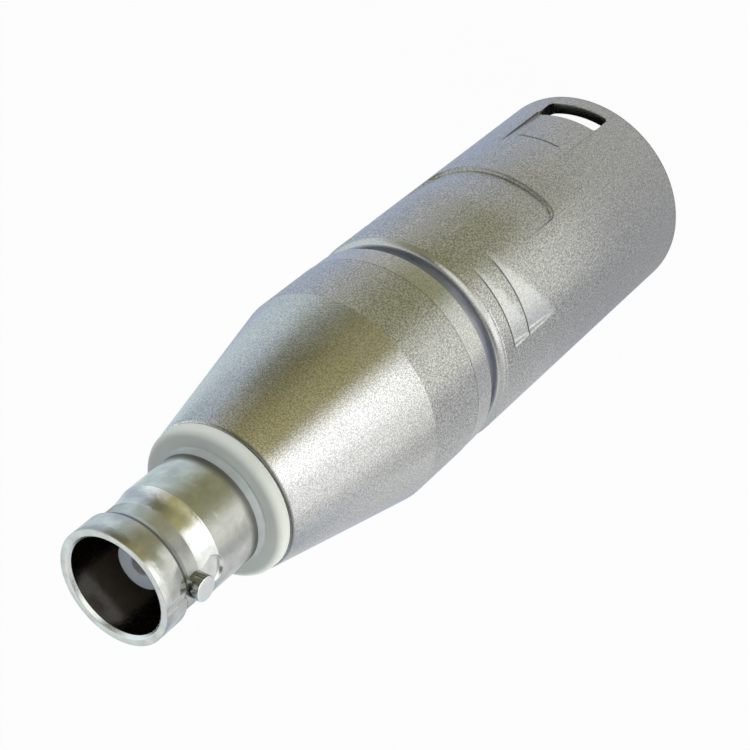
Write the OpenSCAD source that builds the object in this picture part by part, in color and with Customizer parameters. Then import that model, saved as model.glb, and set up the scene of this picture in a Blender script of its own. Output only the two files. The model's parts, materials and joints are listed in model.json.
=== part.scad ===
// Adapter from a three-pole male audio plug to a bayonet coaxial jack, with a matching transformer inside.
// It stands on the rim of the plug: Z runs along the axis, the latch window faces -Y, the jack is on top.

/* [Plug shell] */
// Outside diameter of the plug shell
shell_d = 19.0; // [18.6:0.1:20.4]
// Length from the rim to the rounded end behind the bead
shell_len = 29.5; // [28.5:0.1:34]
// Wall of the shell round the open mouth
mouth_wall = 1.2; // [1:0.05:1.8]
// Depth of the mouth from the rim to the face of the contact insert
mouth_depth = 13.8; // [12.5:0.1:15]
// Rounding of the rim's outer edge
rim_round = 0.4; // [0.2:0.05:0.7]
// Chamfer inside the rim
mouth_chamfer = 0.35; // [0.2:0.05:0.6]
// Wall of the shell round the insert
insert_wall = 1.75; // [1.5:0.05:2.2]
// Thickness of the stop lip in front of the insert
lip_t = 1.4; // [1:0.1:2]
// Radial height of the stop lip
lip_h = 0.75; // [0.5:0.05:1]
// Height of the bead at the shell's rear end
bead_h = 0.75; // [0.6:0.05:1.6]
// Rounding of the bead towards the rear end
bead_round = 0.8; // [0.5:0.05:0.9]
// Width of the fine groove in front of the bead
bead_groove_w = 0.15; // [0.1:0.05:0.4]
// Depth of the fine groove in front of the bead
bead_groove_h = 0.1; // [0.06:0.01:0.25]

/* [Shell features] */
// Distance from the rim to the latch window
window_from_rim = 1.6; // [1.2:0.1:2.5]
// Size of the latch window along the axis
window_h = 2.1; // [1.8:0.1:3]
// Width of the latch window
window_w = 5.8; // [5:0.1:6.6]
// Corner radius of the latch window
window_r = 0.45; // [0.2:0.05:0.8]
// Length of the thinned panel behind the window, up to where it runs out flush
panel_len = 6.3; // [3:0.1:7.5]
// Depth of the thinned panel at the window
panel_depth = 0.25; // [0.1:0.05:0.4]
// Width of the pocket in the panel
pocket_w = 3.9; // [3:0.1:4.6]
// Length of the pocket behind the window
pocket_len = 4.7; // [3:0.1:5.5]
// Depth of the pocket
pocket_depth = 0.2; // [0.1:0.05:0.3]
// Distance from the rim to the deep edge of the oval recess
oval_from_rim = 15.4; // [14:0.1:17]
// Size of the oval recess along the axis
oval_h = 5.2; // [4.5:0.1:6]
// Width of the oval recess
oval_w = 12.0; // [10:0.1:13]
// Corner radius of the oval recess
oval_r = 1.1; // [0.8:0.1:2.2]
// Depth of the oval recess at its deep edge
oval_depth = 0.3; // [0.15:0.05:0.45]
// Distance from the shell's rear end to the first grip step
grip_from_rear = 2.3; // [2:0.1:3.5]
// Length of the first grip step
grip_1_len = 2.3; // [1.8:0.1:3]
// Length of the second grip step
grip_2_len = 3.4; // [2.5:0.1:4.5]
// Depth of the grip steps where they end
grip_depth = 0.3; // [0.15:0.05:0.4]
// How far each grip step runs on past its length before it is flush
grip_tail = 0.3; // [0.2:0.05:0.6]
// Angle from the window at which the grips begin
grip_start = 30; // [24:1:40]
// Angle from the window at which the grips end
grip_end = 77; // [65:1:85]

/* [Screw joint] */
// How far the threaded spigot behind the bead lies below the shell's surface
spigot_step = 0.9; // [0.75:0.05:1.1]
// Engaged length of the thread
thread_len = 5.5; // [4:0.1:7]
// Open groove between the bead and the housing
joint_gap = 1.4; // [0.6:0.1:1.8]
// Room left beyond the end of the spigot
thread_end_gap = 0.3; // [0.2:0.05:0.6]

/* [Rear housing] */
// How far the housing's cylinder lies below the shell's surface
housing_step = 0.01; // [0:0.01:0.2]
// Length of the cylinder from its rim to the edge of the cone
housing_straight = 8.1; // [7.6:0.1:11]
// How much the band at the rim is set back
band_step = 0.06; // [0.04:0.01:0.12]
// Length of the band at the rim
band_len = 2.1; // [1.5:0.1:3]
// Broken edge of the rim
rim_break = 0.2; // [0.1:0.05:0.3]
// Length of the cone
cone_len = 14.6; // [13:0.1:18]
// Diameter of the cone at its front
cone_front_d = 12.9; // [12.7:0.1:14]
// Thickness of the housing's front wall
front_wall_t = 2.0; // [1.5:0.1:2.6]
// Distance from the edge of the cone to the seat of the spacer sleeve
sleeve_seat_in = 3.4; // [2.5:0.1:4]

/* [Bayonet jack] */
// Diameter of the front sleeve
jack_front_d = 9.66; // [9.5:0.01:9.7]
// Length of the front sleeve
jack_front_len = 2.3; // [2:0.1:3.5]
// Length of the taper from the front sleeve down to the neck
front_taper_len = 0.7; // [0.4:0.05:1]
// Diameter of the neck that carries the lugs
jack_neck_d = 9.0; // [8.9:0.02:9.2]
// Length of the neck
jack_neck_len = 1.0; // [0.8:0.05:2.6]
// Length of the hollow flare behind the neck
flare_len = 2.15; // [0.8:0.05:2.6]
// Diameter behind the flare
jack_rear_d = 9.56; // [9.4:0.02:9.8]
// Length of the plain part behind the flare
jack_rear_len = 4.45; // [3.5:0.05:6]
// Diameter of the clamping shoulder
shoulder_d = 10.4; // [10.2:0.1:11]
// Thickness of the clamping shoulder
shoulder_t = 0.7; // [0.5:0.1:1]
// Length of the taper on top of the shoulder
shoulder_taper = 0.45; // [0.2:0.05:0.45]
// Wall of the neck round the jack's bore
neck_wall = 0.44; // [0.4:0.01:0.6]
// Depth of the bore
jack_bore_depth = 8.3; // [7.8:0.1:9]
// Chamfer of the mouth, across
jack_chamfer_r = 0.35; // [0.2:0.05:0.5]
// Chamfer of the mouth, along the axis
jack_chamfer_z = 0.5; // [0.3:0.05:0.8]
// Distance from the mouth to the middle of the bayonet lugs
lug_from_mouth = 3.6; // [3.4:0.05:4]
// Diameter of the bayonet lugs
lug_d = 2.0; // [1.9:0.01:2.06]
// Distance across the tips of the lugs
lug_span = 11.0; // [10.8:0.05:11.1]
// Chamfer at the tip of a lug
lug_chamfer = 0.12; // [0.08:0.02:0.2]
// Width of the flat milled beside each lug
lug_flat_w = 2.6; // [2.3:0.1:3]
// Depth of the flat below the neck's surface
lug_flat_in = 0.04; // [0.02:0.01:0.1]
// How far the round end of the flat runs past the flare's edge
lug_flat_over = 0.35; // [0.1:0.05:0.5]
// Diameter of the jack's barrel inside the housing
barrel_d = 7.5; // [7.3:0.05:7.8]
// Length of the barrel that stands out of the nut
barrel_over = 0.5; // [0.3:0.1:1]
// Depth of the insulator's face from the mouth
insulator_recess = 3.0; // [2.5:0.1:3.5]
// Diameter of the insulator's nose
insulator_nose_d = 4.1; // [3.9:0.05:4.8]
// Diameter of the insulator's seat in the barrel
insulator_seat_d = 5.7; // [5.5:0.05:5.8]
// Thickness of the wall that the insulator seats on
insulator_wall_t = 0.9; // [0.7:0.1:1.4]
// Outside diameter of the centre contact
contact_d = 2.1; // [2:0.05:2.2]
// Bore of the centre contact
contact_bore_d = 1.36; // [1.34:0.01:1.4]
// Depth of the centre contact's bore
contact_bore_depth = 5.2; // [4.5:0.1:6]
// How far the contact lies behind the insulator's face
contact_recess = 0.7; // [0.5:0.05:1]
// Diameter of the hole in the insulator's face that the centre pin enters by
entry_d = 1.6; // [1.5:0.05:1.8]
// Solid web between the contact's bore and its collar
contact_web = 1.0; // [0.6:0.1:1.6]
// Width of the slots between the contact's tines
contact_slot_w = 0.25; // [0.2:0.05:0.35]
// Length of the slots between the contact's tines
contact_slot_len = 4.0; // [3:0.1:4.3]
// Diameter of the contact's collar
contact_collar_d = 3.0; // [2.8:0.1:3.3]
// Length of the contact's collar
contact_collar_len = 1.5; // [1:0.1:2]
// Distance from the barrel's end to the end of the contact's solder cup
cup_over = 3.4; // [2.5:0.1:5]
// Diameter of the solder cup
cup_d = 1.8; // [1.7:0.1:2.2]
// Depth of the solder cup
cup_depth = 2.0; // [1.5:0.1:2.4]

/* [Insulated mounting] */
// How far the ivory bush's flange stays inside the cone's front edge
bush_step = 0.1; // [0:0.05:0.3]
// Thickness of the bush's flange
bush_flange_t = 1.1; // [0.8:0.1:1.6]
// Wall of the bush in the housing's hole
bush_wall = 1.2; // [1:0.05:1.3]
// How far the bush stops short of the wall's inner face
bush_short = 0.1; // [0.05:0.05:0.3]
// How far the inner insulating washer reaches past the bush's hole
washer_over = 0.25; // [0.2:0.05:0.5]
// Thickness of the inner insulating washer
inner_washer_t = 0.8; // [0.5:0.1:1.2]
// Thickness of the solder tag
tag_t = 0.4; // [0.3:0.05:0.5]
// Diameter of the solder tag's ring
tag_ring_d = 9.9; // [9.4:0.1:10.1]
// Width of the solder tag's tail
tag_w = 1.6; // [1.2:0.1:2]
// Length of the solder tag's tail below the nut
tag_tail = 2.0; // [1.5:0.1:3]
// Thickness of the toothed lock washer
lock_washer_t = 0.5; // [0.4:0.05:0.7]
// Width of the toothed lock washer's closed ring
lock_ring = 0.45; // [0.3:0.05:0.6]
// Number of teeth of the lock washer
lock_teeth = 10; // [8:1:12]
// Width of the notches between the teeth
lock_notch = 0.7; // [0.5:0.05:0.9]
// Length of the teeth
lock_tooth = 0.45; // [0.3:0.05:0.5]
// Width of the hexagon nut across its flats
nut_af = 9.6; // [9.4:0.05:10]
// Height of the nut
nut_h = 2.0; // [1.6:0.1:2.6]

/* [Plug contacts] */
// Diameter of the contact pins
pin_d = 2.4; // [2.3:0.02:2.5]
// Diameter of the circle that the pins stand on
pin_circle_d = 8.5; // [8:0.05:8.8]
// Angle of the two upper pins above the middle line
pin_rise = 22.5; // [15:0.5:30]
// How far the pin tips lie behind the rim
pin_recess = 2.0; // [1.5:0.1:3]
// Depth of the pins' seat in the insert
pin_seat = 3.0; // [2:0.1:3.6]
// Diameter of the pins inside the insert
pin_root_d = 2.8; // [2.76:0.02:3]
// Diameter of the pins' collar
pin_collar_d = 3.4; // [3.2:0.1:3.6]
// Length of the pins' collar
pin_collar_len = 2.0; // [1.5:0.1:2.3]
// Diameter of the pins' tails
pin_tail_d = 1.6; // [1.4:0.05:1.8]
// Length of the insert behind the stop lip
insert_len = 6.0; // [5.8:0.1:8]
// Height of the insert's rear ring, which carries the circuit board
ring_h = 2.6; // [2:0.1:3.5]
// Wall of the insert's rear ring
ring_wall = 1.2; // [1:0.05:1.4]
// Width of the shell contact strip
strip_w = 2.0; // [1.6:0.1:2.4]
// Thickness of the shell contact strip
strip_t = 0.4; // [0.3:0.05:0.5]
// Length of the strip's foot under the board
strip_foot = 2.2; // [1.8:0.1:2.3]
// Distance from the stop lip to the lower end of the strip's channel
strip_up = 1.4; // [1:0.1:3]

/* [Transformer and wiring] */
// Thickness of the circuit board
board_t = 1.6; // [1.2:0.1:2]
// Outside diameter of the transformer's ring core
core_d = 7.6; // [7:0.1:7.8]
// Hole of the ring core
core_hole_d = 4.2; // [3.9:0.1:4.4]
// Height of the ring core
core_h = 3.2; // [2.4:0.1:5]
// Build-up of the windings on the core
winding_t = 0.4; // [0.3:0.05:0.45]
// Angle of the core that each winding covers
winding_angle = 150; // [100:5:165]
// Wall of the insulating spacer sleeve
sleeve_wall = 0.75; // [0.65:0.05:1]
// Outside diameter of the wires
wire_d = 1.1; // [0.9:0.05:1.2]
// Diameter of the wires' bare cores
wire_core_d = 0.7; // [0.5:0.05:0.8]
// Distance of the tag's wire from the axis
tag_wire_x = 5.0; // [4.6:0.05:5.4]

/* [Fits] */
// Radial clearance of pieces that sit in one another
fit = 0.05; // [0.03:0.01:0.08]
// Radial clearance between loose pieces and what surrounds them
room = 0.25; // [0.2:0.05:0.3]

/* [Hidden] */
$fn = 96;
// Overshoot of cutting shapes
eps = 1;

// Radii that follow from the shell's diameter
shell_r = shell_d / 2;
mouth_r = shell_r - mouth_wall;
insert_bore_r = shell_r - insert_wall;
lip_r = insert_bore_r - lip_h;
spigot_r = shell_r - spigot_step;
housing_r = shell_r - housing_step;

// Levels of the plug, from the rim upwards
z_lip = mouth_depth + lip_t;
z_pin_seat = mouth_depth + pin_seat;
z_insert = z_lip + insert_len;
z_board = z_insert + ring_h;
z_board_top = z_board + board_t;

// Levels of the rear housing
z_housing = shell_len + joint_gap;
z_spigot = z_housing + thread_len;
z_step = z_spigot + thread_end_gap;
z_cone = z_housing + housing_straight;
z_sleeve = z_cone + sleeve_seat_in;
z_front = z_cone + cone_len;
z_wall = z_front - front_wall_t;

// Levels of the clamped stack inside the front wall, downwards
z_tag = z_wall - inner_washer_t;
z_lock = z_tag - tag_t;
z_nut = z_lock - lock_washer_t;
z_nut_end = z_nut - nut_h;
z_barrel = z_nut_end - barrel_over;

// Levels of the jack, upwards
z_shoulder = z_front + bush_flange_t;
z_rear = z_shoulder + shoulder_t;
z_flare = z_rear + jack_rear_len;
z_neck = z_flare + flare_len;
z_neck_end = z_neck + jack_neck_len;
z_sleeve_edge = z_neck_end + front_taper_len;
z_mouth = z_sleeve_edge + jack_front_len;
z_lug = z_mouth - lug_from_mouth;
z_jack_floor = z_mouth - jack_bore_depth;
z_insulator_seat = z_jack_floor - insulator_wall_t;
z_insulator = z_mouth - insulator_recess;
z_contact = z_insulator - contact_recess;
z_contact_floor = z_contact - contact_bore_depth;
z_collar = z_contact_floor - contact_web;
z_cup = z_barrel - cup_over;

// Radii that follow from the pieces they hold
cone_front_r = cone_front_d / 2;
insert_r = insert_bore_r - fit;
sleeve_r = insert_bore_r - 2 * fit;
bush_bore_r = barrel_d / 2 + fit;
bush_r = bush_bore_r + bush_wall;
bush_hole_r = bush_r + fit;
bush_flange_r = cone_front_r - bush_step;
inner_washer_r = bush_hole_r + washer_over;
lock_washer_r = bush_bore_r + lock_tooth + lock_ring;
nut_corner_r = nut_af / 2 / cos(30);
tag_in_x = max(nut_af / 2, lock_washer_r) + room;
tag_out_x = tag_in_x + tag_t;
cavity_front_r = max(inner_washer_r, nut_corner_r, norm([tag_out_x, tag_w / 2])) + room;
cavity_rear_r = sleeve_r - sleeve_wall;
jack_bore_r = jack_neck_d / 2 - neck_wall;
lug_root_x = jack_bore_r + fit;
strip_out_y = sqrt(pow(insert_bore_r - fit / 2, 2) - pow(strip_w / 2, 2));
pin_places = [
    [-cos(pin_rise) * pin_circle_d / 2, -sin(pin_rise) * pin_circle_d / 2],
    [cos(pin_rise) * pin_circle_d / 2, -sin(pin_rise) * pin_circle_d / 2],
    [0, pin_circle_d / 2]];

// Cylinder between two levels
module rod(r, z0, z1) {
    translate([0, 0, z0])
        cylinder(r = r, h = z1 - z0);
}

// Cone between two levels
module taper(r0, r1, z0, z1) {
    translate([0, 0, z0])
        cylinder(r1 = r0, r2 = r1, h = z1 - z0);
}

// Rectangle with round corners, standing on its lower edge and centred across
module round_rect(w, h, r) {
    translate([-w / 2, r])
        square([w, h - 2 * r]);
    translate([-w / 2 + r, 0])
        square([w - 2 * r, h]);
    for (x = [-w / 2 + r, w / 2 - r], y = [r, h - r])
        translate([x, y])
            circle(r = r);
}

// Prism that runs from the axis out towards the window's side
module window_side_prism(z0) {
    translate([0, 0, z0])
        rotate([90, 0, 0])
            linear_extrude(height = shell_d)
                children();
}

// Wedge from the window's side round to an angle, on the side given by the sign
module side_wedge(angle, side, z0, z1) {
    reach = shell_d;
    translate([0, 0, z0])
        linear_extrude(height = z1 - z0)
            polygon([
                [0, 0],
                [0, -reach],
                [side * reach, -reach],
                [side * reach * sin(angle), -reach * cos(angle)]]);
}

// One grip step: a cone set off the axis takes away more and more towards the end of the grip
module grip_cut(z_deep, len, side) {
    off = grip_depth / (cos(grip_start) - cos(grip_end));
    r_deep = shell_r - off * cos(grip_start);
    r_flush = shell_r - off * cos(grip_end);
    run = len + grip_tail;
    slope = (r_flush - r_deep) / run;
    difference() {
        side_wedge(grip_end, side, z_deep - run - eps, z_deep);
        translate([0, -off, 0])
            taper(r_flush + 2 * eps * slope, r_deep - eps * slope, z_deep - run - 2 * eps, z_deep + eps);
    }
}

// Shallow oval that is deep at the plug's end and runs out flush towards the grips
module oval_cut() {
    slope = oval_depth / oval_h;
    over = oval_r + 2 * eps;
    z_deep = oval_from_rim;
    r_deep = shell_r - oval_depth;
    difference() {
        window_side_prism(z_deep)
            round_rect(oval_w, oval_h + oval_r + eps, oval_r);
        taper(r_deep - eps * slope, shell_r + over * slope, z_deep - eps, z_deep + oval_h + over);
    }
}

// Window for the latch, the thinned panel that runs out flush behind it, and the pocket in that panel
module window_cut() {
    z_end = window_from_rim + window_h;
    z_mid = window_from_rim + window_h / 2;
    slope = panel_depth / panel_len;
    window_side_prism(window_from_rim)
        round_rect(window_w, window_h, window_r);
    difference() {
        window_side_prism(z_mid)
            translate([-window_w / 2, 0])
                square([window_w, z_end - z_mid + panel_len + eps]);
        taper(shell_r - panel_depth - window_h * slope, shell_r + 2 * eps * slope,
            z_end - window_h, z_end + panel_len + 2 * eps);
    }
    difference() {
        window_side_prism(z_mid)
            translate([-pocket_w / 2, 0])
                square([pocket_w, z_end - z_mid + pocket_len]);
        rod(shell_r - pocket_depth, 0, shell_len);
    }
}

// Half profile of the shell's outside, rim at the bottom and spigot at the top
module shell_outline() {
    z_groove = shell_len - bead_h - bead_groove_w;
    translate([shell_r - rim_round, rim_round])
        circle(r = rim_round);
    square([shell_r - rim_round, z_groove]);
    translate([0, rim_round])
        square([shell_r, z_groove - rim_round]);
    square([shell_r - bead_groove_h, z_groove + bead_groove_w]);
    intersection() {
        union() {
            translate([shell_r - bead_round, shell_len - bead_round])
                circle(r = bead_round);
            square([shell_r - bead_round, shell_len]);
            square([shell_r, shell_len - bead_round]);
        }
        translate([0, z_groove + bead_groove_w])
            square([shell_r, bead_h]);
    }
    square([spigot_r, z_spigot]);
}

// Half profile of the mouth, the stop lip and the bore for the insert
module shell_bores() {
    polygon([
        [0, -eps],
        [mouth_r + mouth_chamfer + eps, -eps],
        [mouth_r, mouth_chamfer],
        [mouth_r, mouth_depth],
        [lip_r, mouth_depth],
        [lip_r, z_lip],
        [insert_bore_r, z_lip],
        [insert_bore_r, z_spigot + eps],
        [0, z_spigot + eps]]);
}

// Nickel-plated die-cast shell of the plug
module xlr_shell() {
    color("#b4b3ae")
        difference() {
            rotate_extrude()
                intersection() {
                    shell_outline();
                    square([shell_d, z_spigot]);
                }
            rotate_extrude()
                shell_bores();
            window_cut();
            oval_cut();
            for (side = [-1, 1]) {
                grip_cut(shell_len - grip_from_rear, grip_1_len, side);
                grip_cut(shell_len - grip_from_rear - grip_1_len, grip_2_len, side);
            }
        }
}

// Black insert that carries the three pins and, on its rear ring, the circuit board
module contact_insert() {
    strip_in_y = strip_out_y - strip_t - room;
    foot_in_y = strip_out_y - strip_foot - room;
    color("#1d1d1f")
        difference() {
            union() {
                rod(lip_r - fit, mouth_depth, z_lip);
                rod(insert_r, z_lip, z_board);
            }
            rod(insert_r - ring_wall, z_insert, z_board + eps);
            for (p = pin_places)
                translate([p[0], p[1], 0]) {
                    rod(pin_root_d / 2 + fit, mouth_depth - eps, z_board);
                    rod(pin_collar_d / 2 + fit, z_pin_seat, z_board);
                }
            translate([-strip_w / 2 - room, -strip_in_y - insert_r, z_lip + strip_up])
                cube([strip_w + 2 * room, insert_r, z_board]);
            translate([-strip_w / 2 - room, -foot_in_y - insert_r, z_board - strip_t - fit])
                cube([strip_w + 2 * room, insert_r, z_board]);
        }
}

// Turned contact pin with a round tip, a collar that seats in the insert and a tail through the board
module contact_pin(i) {
    z_tip = pin_recess + pin_d / 2;
    translate([pin_places[i][0], pin_places[i][1], 0]) {
        translate([0, 0, z_tip])
            sphere(r = pin_d / 2);
        rod(pin_d / 2, z_tip, mouth_depth);
        rod(pin_root_d / 2, mouth_depth, z_pin_seat);
        rod(pin_collar_d / 2, z_pin_seat, z_pin_seat + pin_collar_len);
        rod(pin_tail_d / 2, z_pin_seat, z_board_top - room);
    }
}

module contact_pin_left() {
    color("#cfcfcf")
        contact_pin(0);
}

module contact_pin_right() {
    color("#cfcfcf")
        contact_pin(1);
}

module contact_pin_lower() {
    color("#cfcfcf")
        contact_pin(2);
}

// Sprung strip on the window's side, clear of the pins, that joins the shell to the board's ground
module shell_contact_strip() {
    z_strip = z_lip + strip_up + room;
    color("#c9b36a")
        translate([-strip_w / 2, -strip_out_y, 0]) {
            translate([0, 0, z_strip])
                cube([strip_w, strip_t, z_board - z_strip]);
            translate([0, 0, z_board - strip_t])
                cube([strip_w, strip_foot, strip_t]);
        }
}

// Round circuit board that the pins' tails and the wires are soldered into
module circuit_board() {
    color("#2f6b3f")
        difference() {
            rod(sleeve_r, z_board, z_board_top);
            for (p = pin_places)
                translate([p[0], p[1], 0])
                    rod(pin_tail_d / 2 + fit, z_board - eps, z_board_top + eps);
            for (x = [0, tag_wire_x])
                translate([x, 0, 0])
                    rod(wire_core_d / 2 + fit, z_board - eps, z_board_top + eps);
        }
}

// Ferrite ring of the matching transformer
module transformer_core() {
    z0 = z_board_top + winding_t + fit / 2;
    color("#4a4a4d")
        difference() {
            rod(core_d / 2 - fit, z0, z0 + core_h);
            rod(core_hole_d / 2 + fit, z0 - eps, z0 + core_h + eps);
        }
}

// Layer of wire wound round part of the ring core
module winding(turn) {
    core_w = core_d / 2 - core_hole_d / 2;
    rotate([0, 0, turn - winding_angle / 2])
        rotate_extrude(angle = winding_angle)
            difference() {
                translate([core_hole_d / 2 - winding_t, z_board_top])
                    square([core_w + 2 * winding_t, core_h + fit + 2 * winding_t]);
                translate([core_hole_d / 2, z_board_top + winding_t])
                    square([core_w, core_h + fit]);
            }
}

module primary_winding() {
    color("#a5582a")
        winding(90);
}

module secondary_winding() {
    color("#8a4720")
        winding(270);
}

// Insulating sleeve that the housing presses down on the board
module spacer_sleeve() {
    color("#e8e4d6")
        difference() {
            rod(sleeve_r, z_board_top, z_sleeve);
            rod(sleeve_r - sleeve_wall, z_board_top - eps, z_sleeve + eps);
        }
}

// Half profile of the housing's outside: the band at the rim, the cylinder and the cone
module housing_outline() {
    band_r = housing_r - band_step;
    polygon([
        [0, z_housing],
        [band_r - rim_break, z_housing],
        [band_r, z_housing + rim_break],
        [band_r, z_housing + band_len],
        [housing_r, z_housing + band_len],
        [housing_r, z_cone],
        [cone_front_r, z_front],
        [0, z_front]]);
}

// Half profile of the housing's inside: the thread, the sleeve's seat, the cavity and the bush's hole
module housing_bores() {
    polygon([
        [0, z_housing - eps],
        [spigot_r + fit, z_housing - eps],
        [spigot_r + fit, z_step],
        [sleeve_r + fit, z_step],
        [sleeve_r + fit, z_sleeve],
        [cavity_rear_r, z_sleeve],
        [cavity_front_r, z_wall],
        [bush_hole_r, z_wall],
        [bush_hole_r, z_front + eps],
        [0, z_front + eps]]);
}

// Nickel-plated housing that screws on the shell and carries the jack
module rear_housing() {
    color("#b0aea6")
        rotate_extrude()
            difference() {
                housing_outline();
                housing_bores();
            }
}

// Ivory bush that keeps the jack off the housing
module insulating_bush() {
    color("#e6e3d3")
        difference() {
            union() {
                rod(bush_flange_r, z_front, z_shoulder);
                rod(bush_r, z_wall + bush_short, z_front);
            }
            rod(bush_bore_r, z_wall - eps, z_shoulder + eps);
        }
}

// Second insulator, on the inner side of the front wall
module inner_insulating_washer() {
    color("#e6e3d3")
        difference() {
            rod(inner_washer_r, z_tag, z_wall);
            rod(bush_bore_r, z_tag - eps, z_wall + eps);
        }
}

// Tag under the nut, with its tail bent back past the nut and an eye for the wire
module solder_tag() {
    z_eye = z_nut_end - tag_tail;
    eye_in_x = tag_wire_x - tag_w / 2;
    eye_out_x = max(tag_out_x, tag_wire_x + tag_w / 2);
    color("#d8cfa0")
        difference() {
            union() {
                rod(tag_ring_d / 2, z_lock, z_tag);
                translate([barrel_d / 2 + 2 * fit, -tag_w / 2, z_lock])
                    cube([tag_out_x - barrel_d / 2 - 2 * fit, tag_w, tag_t]);
                translate([tag_in_x, -tag_w / 2, z_eye])
                    cube([tag_t, tag_w, z_tag - z_eye]);
                translate([eye_in_x, -tag_w / 2, z_eye])
                    cube([eye_out_x - eye_in_x, tag_w, tag_t]);
            }
            rod(bush_bore_r, z_lock - eps, z_tag + eps);
            translate([tag_wire_x, 0, 0])
                rod(wire_core_d / 2 + fit, z_eye - eps, z_eye + tag_t + eps);
        }
}

// Lock washer with teeth towards the barrel
module lock_washer() {
    color("#bdbdbd")
        difference() {
            rod(lock_washer_r, z_nut, z_lock);
            rod(bush_bore_r, z_nut - eps, z_lock + eps);
            for (i = [0 : lock_teeth - 1])
                rotate([0, 0, i * 360 / lock_teeth])
                    translate([0, -lock_notch / 2, z_nut - eps])
                        cube([bush_bore_r + lock_tooth, lock_notch, lock_washer_t + 2 * eps]);
        }
}

// Hexagon nut on the jack's barrel, with a flat towards the tag's tail
module hex_nut() {
    color("#bdbdbd")
        difference() {
            translate([0, 0, z_nut_end])
                rotate([0, 0, 30])
                    cylinder(r = nut_corner_r, h = nut_h, $fn = 6);
            rod(bush_bore_r, z_nut_end - eps, z_nut + eps);
        }
}

// Half profile of the jack's outside, from the barrel up to the mouth
module jack_outline() {
    drop = (jack_rear_d - jack_neck_d) / 2;
    flare_r = (pow(flare_len, 2) + pow(drop, 2)) / (2 * drop);
    difference() {
        polygon([
            [0, z_barrel],
            [barrel_d / 2, z_barrel],
            [barrel_d / 2, z_shoulder],
            [shoulder_d / 2, z_shoulder],
            [shoulder_d / 2, z_rear - shoulder_taper],
            [jack_rear_d / 2, z_rear],
            [jack_rear_d / 2, z_neck],
            [jack_neck_d / 2, z_neck],
            [jack_neck_d / 2, z_neck_end],
            [jack_front_d / 2, z_sleeve_edge],
            [jack_front_d / 2, z_mouth],
            [0, z_mouth]]);
        intersection() {
            translate([jack_neck_d / 2 + flare_r, z_neck])
                circle(r = flare_r);
            translate([0, z_flare])
                square([jack_rear_d, flare_len]);
        }
    }
}

// Half profile of the jack's inside: the insulator's seat, the bore and the chamfered mouth
module jack_bores() {
    polygon([
        [0, z_barrel - eps],
        [insulator_seat_d / 2, z_barrel - eps],
        [insulator_seat_d / 2, z_insulator_seat],
        [insulator_nose_d / 2 + fit, z_insulator_seat],
        [insulator_nose_d / 2 + fit, z_jack_floor],
        [jack_bore_r, z_jack_floor],
        [jack_bore_r, z_mouth - jack_chamfer_z],
        [jack_bore_r + jack_chamfer_r, z_mouth],
        [jack_bore_r + jack_chamfer_r, z_mouth + eps],
        [0, z_mouth + eps]]);
}

// Cutter of the flat beside a lug, with a round end at the lug and another past the flare's edge
module lug_flat() {
    r = lug_flat_w / 2;
    z_end = z_flare - lug_flat_over + r;
    for (z = [z_end, z_lug])
        translate([0, 0, z])
            rotate([0, 90, 0])
                cylinder(r = r, h = lug_span);
    translate([0, -r, z_end])
        cube([lug_span, lug_flat_w, z_lug - z_end]);
}

// Turned body of the bayonet jack, drilled and milled flat where the lugs sit
module bnc_body() {
    color("#bfc0b8")
        difference() {
            rotate_extrude()
                difference() {
                    jack_outline();
                    jack_bores();
                }
            for (side = [0, 180])
                rotate([0, 0, side]) {
                    translate([0, 0, z_lug])
                        rotate([0, 90, 0])
                            cylinder(d = lug_d + fit, h = lug_span);
                    translate([jack_neck_d / 2 - lug_flat_in, 0, 0])
                        lug_flat();
                }
        }
}

// The two lugs, pressed into the neck
module bayonet_lugs() {
    color("#bfc0b8")
        for (side = [0, 180])
            rotate([0, 0, side])
                translate([lug_root_x, 0, z_lug])
                    rotate([0, 90, 0]) {
                        len = lug_span / 2 - lug_root_x;
                        cylinder(d = lug_d, h = len - lug_chamfer);
                        translate([0, 0, len - lug_chamfer])
                            cylinder(d1 = lug_d, d2 = lug_d - 2 * lug_chamfer, h = lug_chamfer);
                    }
}

// White insulator that centres the contact in the jack
module bnc_insulator() {
    color("#dcdce4")
        difference() {
            union() {
                rod(insulator_nose_d / 2, z_insulator_seat, z_insulator);
                rod(insulator_seat_d / 2 - fit, z_barrel, z_insulator_seat);
            }
            rod(entry_d / 2, z_barrel - eps, z_insulator + eps);
            rod(contact_d / 2 + fit, z_barrel - eps, z_contact + fit);
            rod(contact_collar_d / 2 + fit, z_barrel - eps, z_collar);
        }
}

// Gilt centre contact: four tines in front, a collar and a solder cup behind
module bnc_contact() {
    color("#c8a852")
        difference() {
            union() {
                rod(contact_d / 2, z_collar - contact_collar_len, z_contact);
                rod(contact_collar_d / 2, z_collar - contact_collar_len, z_collar);
                rod(cup_d / 2, z_cup, z_collar);
            }
            rod(contact_bore_d / 2, z_contact_floor, z_contact + eps);
            for (turn = [45, 135])
                rotate([0, 0, turn])
                    translate([-contact_d, -contact_slot_w / 2, z_contact - contact_slot_len])
                        cube([2 * contact_d, contact_slot_w, contact_slot_len + eps]);
            rod(wire_core_d / 2 + fit, z_cup - eps, z_cup + cup_depth);
        }
}

// Straight insulated wire from the board, with a bare core at each end
module wire(x, z_top, z_core) {
    translate([x, 0, 0]) {
        rod(wire_core_d / 2, z_board, z_core);
        rod(wire_d / 2, z_board_top, z_top);
    }
}

// Wire from the board to the centre contact
module centre_wire() {
    color("#b03030")
        wire(0, z_cup, z_cup + cup_depth);
}

// Wire from the board to the solder tag
module tag_wire() {
    z_eye = z_nut_end - tag_tail;
    color("#2b2b2b")
        wire(tag_wire_x, z_eye, z_eye + tag_t + fit);
}

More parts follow.
